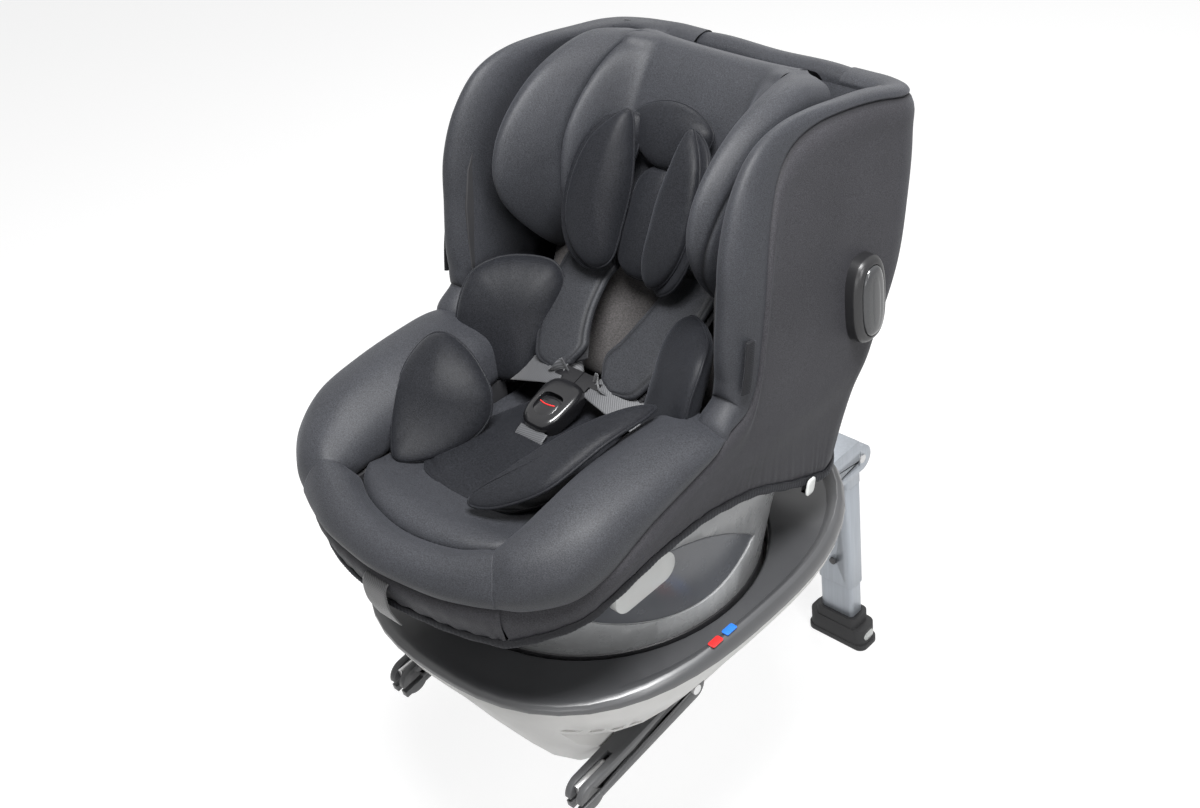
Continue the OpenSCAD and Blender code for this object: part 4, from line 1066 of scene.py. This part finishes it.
def buckle_line():
    """Red line across the button."""
    x = np.linspace(-10, 10, 30)
    arc = np.stack([x, -6.5 + 0.022 * x**2, 11.95 - 0.012 * x**2], 1)
    return tube(on_buckle(arc), 0.75, 8)


piece("buckle_case", buckle_case(), "seat", BUCKLE, ["buckle_body"])
piece("buckle_press", buckle_press(), "buckle_button", BUCKLE, ["buckle_button"])
piece("buckle_line", buckle_line(), "buckle_button", RED, ["buckle_button"])


# Side pieces

POD_AT = (216, 441)
POD_SIZE = (52, 98)
POD_LEVELS = [(1.5, 192), (0, 194), (0, 212), (0.8, 216), (3, 219), (6, 220.4), (8, 220.4), (8.8, 219.4)]
POD_FACE_LEVELS = [(8.9, 218.5), (9.1, 220.6), (10.4, 222.6), (14, 224), (20, 224.8)]


def pod(levels, side):
    """Part of a side guard, as a stack of soft rectangles."""
    p = curve(stacked(levels, *POD_SIZE, 2.7), 36)
    q = np.stack([p[..., 2] * side, p[..., 0] + POD_AT[0], p[..., 1] + POD_AT[1]], -1)
    return Form().loft(q, (0.4, 0.5), 4)


def holder_loop(side):
    """Ribbed elastic loop on the outer seam of a wing."""
    run = np.linspace(-27, 27, 90)
    y, z = 31 + 0.24 * run, 462 + 0.97 * run
    x = 209.5 + 1.2 * np.cos(run / 27 * math.pi / 2)
    path = np.stack([x * side, y, z], 1)
    a = turns(20)
    rib = 1 + 0.16 * np.sin(np.arange(90) * math.pi / 1.5)[:, None]
    out = np.array([side, 0, 0]) * 2.0
    wide = np.array([0, 0.97, -0.24]) * 6.5
    p = path[:, None] + (rib * np.cos(a))[..., None] * out
    p = p + square_off(np.sin(a), 0.5)[None, :, None] * wide
    return Form().loft(p, (0.8, 0.8), 2)


def hem_clip(side):
    """Pale hook that holds the hem of the cover to the shell."""
    p = curve(stacked([(2, -1.8), (0.3, -1.2), (0, 0), (0.3, 1.2), (2, 1.8)], 13, 18, 4), 20)
    lean = np.stack([(194 + p[..., 2]) * side, 134 + p[..., 0] + 0.3 * p[..., 1], 243 + p[..., 1]], -1)
    return Form().loft(lean, (0.2, 0.2), 2)


loops = add(holder_loop(1), holder_loop(-1))
piece("holder_loops", loops, "seat", ELASTIC, ["tongue_holders"])
piece("hem_clips", add(hem_clip(1), hem_clip(-1)), "seat", BUTTON, ())
for side, name in SIDES:
    body = f"side_pod_{name}"
    piece(f"pod_rim_{name}", pod(POD_LEVELS, side), body, POD, [body])
    piece(f"pod_face_{name}", pod(POD_FACE_LEVELS, side), body, POD_FACE, [body])


# The bowl flares from a circle at its foot to a soft rectangle at its top
BOWL_FOOT, BOWL_TOP, BOWL_ROUND = 167, 300, 181.5
BOWL_HALF, BOWL_FRONT, BOWL_REAR, BOWL_POWER = 185.5, 238, 205, 3.2
# Arcs of the pocket in its cheek: middle, as Y and Z, and radius
POCKET_LOW, POCKET_HIGH = (-35, 374, 180), (-134, 34, 268)
POCKET_INSET, POCKET_DEEP, POCKET_THICK = 2, 1.6, 1.0


def bowl_side(y, z):
    """X of the bowl's outer face at a place in the side view."""
    share = (z - BOWL_FOOT) / (BOWL_TOP - BOWL_FOOT)
    along = np.where(y < 0, BOWL_FRONT, BOWL_REAR)
    x = np.full(np.shape(y), 180.0)
    for _ in range(12):
        t = np.arctan2(y, x)
        wide = abs(np.cos(t) / BOWL_HALF) ** BOWL_POWER + abs(np.sin(t) / along) ** BOWL_POWER
        r = BOWL_ROUND * (1 - share) + wide ** (-1 / BOWL_POWER) * share
        x = np.sqrt(np.maximum(r**2 - y**2, 1))
    return x


def bowl_edge(y):
    """Height of the bowl's upper edge along its cheek."""
    co = np.array([v.co for v in NODES["turntable_bowl"].data.vertices]) / MM
    cheek = co[abs(co[:, 0]) > 100]
    rows = []
    for at in range(-210, 111, 10):
        close = cheek[abs(cheek[:, 1] - at) < 14]
        rows.append((at, close[:, 2].max() if len(close) else 200))
    return smooth(rows, y)


def arc(y, middle_y, radius):
    """Height of a circle over its middle."""
    return np.sqrt(np.maximum(radius**2 - (y - middle_y) ** 2, 0))


def bowl_pocket(side):
    """Darker floor of the shallow pocket in the bowl's cheek, between two arcs."""
    y = np.linspace(-196, 88, 90)[:, None] * np.ones((1, 40))
    low = POCKET_LOW[1] - arc(y, POCKET_LOW[0], POCKET_LOW[2]) + POCKET_INSET
    high = POCKET_HIGH[1] + arc(y, POCKET_HIGH[0], POCKET_HIGH[2]) - POCKET_INSET
    high = np.minimum(high, bowl_edge(y) - 3)
    low = np.minimum(low, high)
    z = low + (high - low) * np.linspace(0, 1, 40)[None]
    x = bowl_side(y, z)
    face = np.stack([(x - POCKET_DEEP) * side, y, z], -1)
    rear = np.stack([(x - POCKET_DEEP - POCKET_THICK) * side, y, z], -1)
    return walls(Form().grid(face).grid(rear[::-1]), face, rear)


for side, name in SIDES:
    piece(f"bowl_pocket_{name}", bowl_pocket(side), "turntable", POCKET, ())


# Stage


def seen(t):
    """One for a ray from the camera, or by way of a mirror or glass."""
    path = t.nodes.new("ShaderNodeLightPath")
    value = path.outputs["Is Camera Ray"]
    for kind in ("Is Glossy Ray", "Is Transmission Ray"):
        most = t.nodes.new("ShaderNodeMath")
        most.operation = "MAXIMUM"
        link(t, value, most.inputs[0])
        link(t, path.outputs[kind], most.inputs[1])
        value = most.outputs[0]
    return value


FLOOR_Z, FLOOR_HALF = -0.312, 15


def floor():
    """Pale floor that keeps the object's shadow."""
    me = bpy.data.meshes.new("floor")
    corners = [(x * FLOOR_HALF, y * FLOOR_HALF, FLOOR_Z) for x, y in ((-1, -1), (1, -1), (1, 1), (-1, 1))]
    me.from_pydata(corners, [], [(0, 1, 2, 3)])
    ob = into_scene("floor", me)
    m = bpy.data.materials.new("floor")
    m.use_nodes = True
    t = m.node_tree
    t.nodes.clear()
    end = t.nodes.new("ShaderNodeOutputMaterial")
    matt = t.nodes.new("ShaderNodeBsdfDiffuse")
    matt.inputs["Color"].default_value = (0.32, 0.32, 0.32, 1)
    glow = t.nodes.new("ShaderNodeEmission")
    put(glow, {"Color": (0.82, 0.82, 0.82, 1), "Strength": 1.0})
    both = t.nodes.new("ShaderNodeAddShader")
    plain = t.nodes.new("ShaderNodeBsdfDiffuse")
    plain.inputs["Color"].default_value = (0.3, 0.3, 0.3, 1)
    pick = t.nodes.new("ShaderNodeMixShader")
    link(t, matt.outputs[0], both.inputs[0])
    link(t, glow.outputs[0], both.inputs[1])
    link(t, seen(t), pick.inputs[0])
    link(t, plain.outputs[0], pick.inputs[1])
    link(t, both.outputs[0], pick.inputs[2])
    link(t, pick.outputs[0], end.inputs["Surface"])
    me.materials.append(m)


def world():
    """White where it is seen, and a weak fill light elsewhere."""
    w = bpy.data.worlds.new("studio")
    bpy.context.scene.world = w
    w.use_nodes = True
    t = w.node_tree
    bg = t.nodes["Background"]
    colour = mix_colour(t, "MIX", seen(t), (0.03, 0.031, 0.033), (1.0, 1.0, 1.0))
    link(t, colour, bg.inputs["Color"])
    bg.inputs["Strength"].default_value = 1.0


def lamp(name, place, aim, size, power):
    """Soft rectangular studio lamp."""
    light = bpy.data.lights.new(name, "AREA")
    light.shape = "RECTANGLE"
    light.size, light.size_y = size
    light.energy = power
    ob = into_scene(name, light)
    ob.location = place
    ob.rotation_euler = (Vector(aim) - Vector(place)).to_track_quat("-Z", "Y").to_euler()


CAMERA_AT = Vector((1.05454, -0.93126, 1.3536))
CAMERA_RIGHT = Vector((0.7264, 0.6779, -0.1133))
CAMERA_UP = Vector((-0.3319, 0.4903, 0.8059))


def camera():
    """Camera at the photograph's viewing angle."""
    cam = bpy.data.cameras.new("camera")
    ob = into_scene("camera", cam)
    right = CAMERA_RIGHT.normalized()
    up = (CAMERA_UP - CAMERA_UP.dot(right) * right).normalized()
    turn = Matrix((right, up, right.cross(up))).transposed()
    ob.matrix_world = Matrix.Translation(CAMERA_AT) @ turn.to_4x4()
    cam.sensor_width = 36
    cam.lens = 49.5
    bpy.context.scene.camera = ob


floor()
world()
camera()
lamp("overhead", (0.6, -0.35, 2.2), (0, -0.05, 0.3), (0.9, 0.7), 100)
lamp("left_side", (-2.0, -0.6, 1.5), (0, 0, 0.3), (0.7, 1.2), 1)
lamp("right_side", (2.1, -0.5, 1.3), (0, 0, 0.3), (0.7, 1.2), 26)
lamp("front_low", (1.2, -1.9, 0.55), (0, -0.1, 0.1), (1.0, 0.6), 8)
lamp("rear", (-0.7, 2.0, 1.9), (0, 0.1, 0.4), (1.0, 1.0), 16)


SLOTS = {n["node"]: n["material_slot"] for n in frame["record"]["subparts"]}
# Pieces with a finish other than their slot's
OWN = {"orientation_marks": MARKS, "leg_bracket": LEG, "leg_knuckle": LEG, "buckle_tongues": BUCKLE}
WELD_WITHIN, EDGE_WIDTH, EDGE_ANGLE = 1e-5, 0.0007, math.radians(28)
for name, ob in NODES.items():
    ob.data.materials.clear()
    ob.data.materials.append(OWN.get(name) or MADE[SLOTS[name]])
    # The tongues are thin plates, which stay flat and sharp
    plate = name == "buckle_tongues"
    ob.data.polygons.foreach_set("use_smooth", [not plate] * len(ob.data.polygons))
    weld = ob.modifiers.new("weld", "WELD")
    weld.merge_threshold = WELD_WITHIN
    if plate:
        continue
    bevel = ob.modifiers.new("bevel", "BEVEL")
    bevel.width = EDGE_WIDTH
    bevel.segments = 2
    bevel.limit_method = "ANGLE"
    bevel.angle_limit = EDGE_ANGLE
    bevel.harden_normals = True

bpy.context.scene.view_settings.view_transform = "Standard"
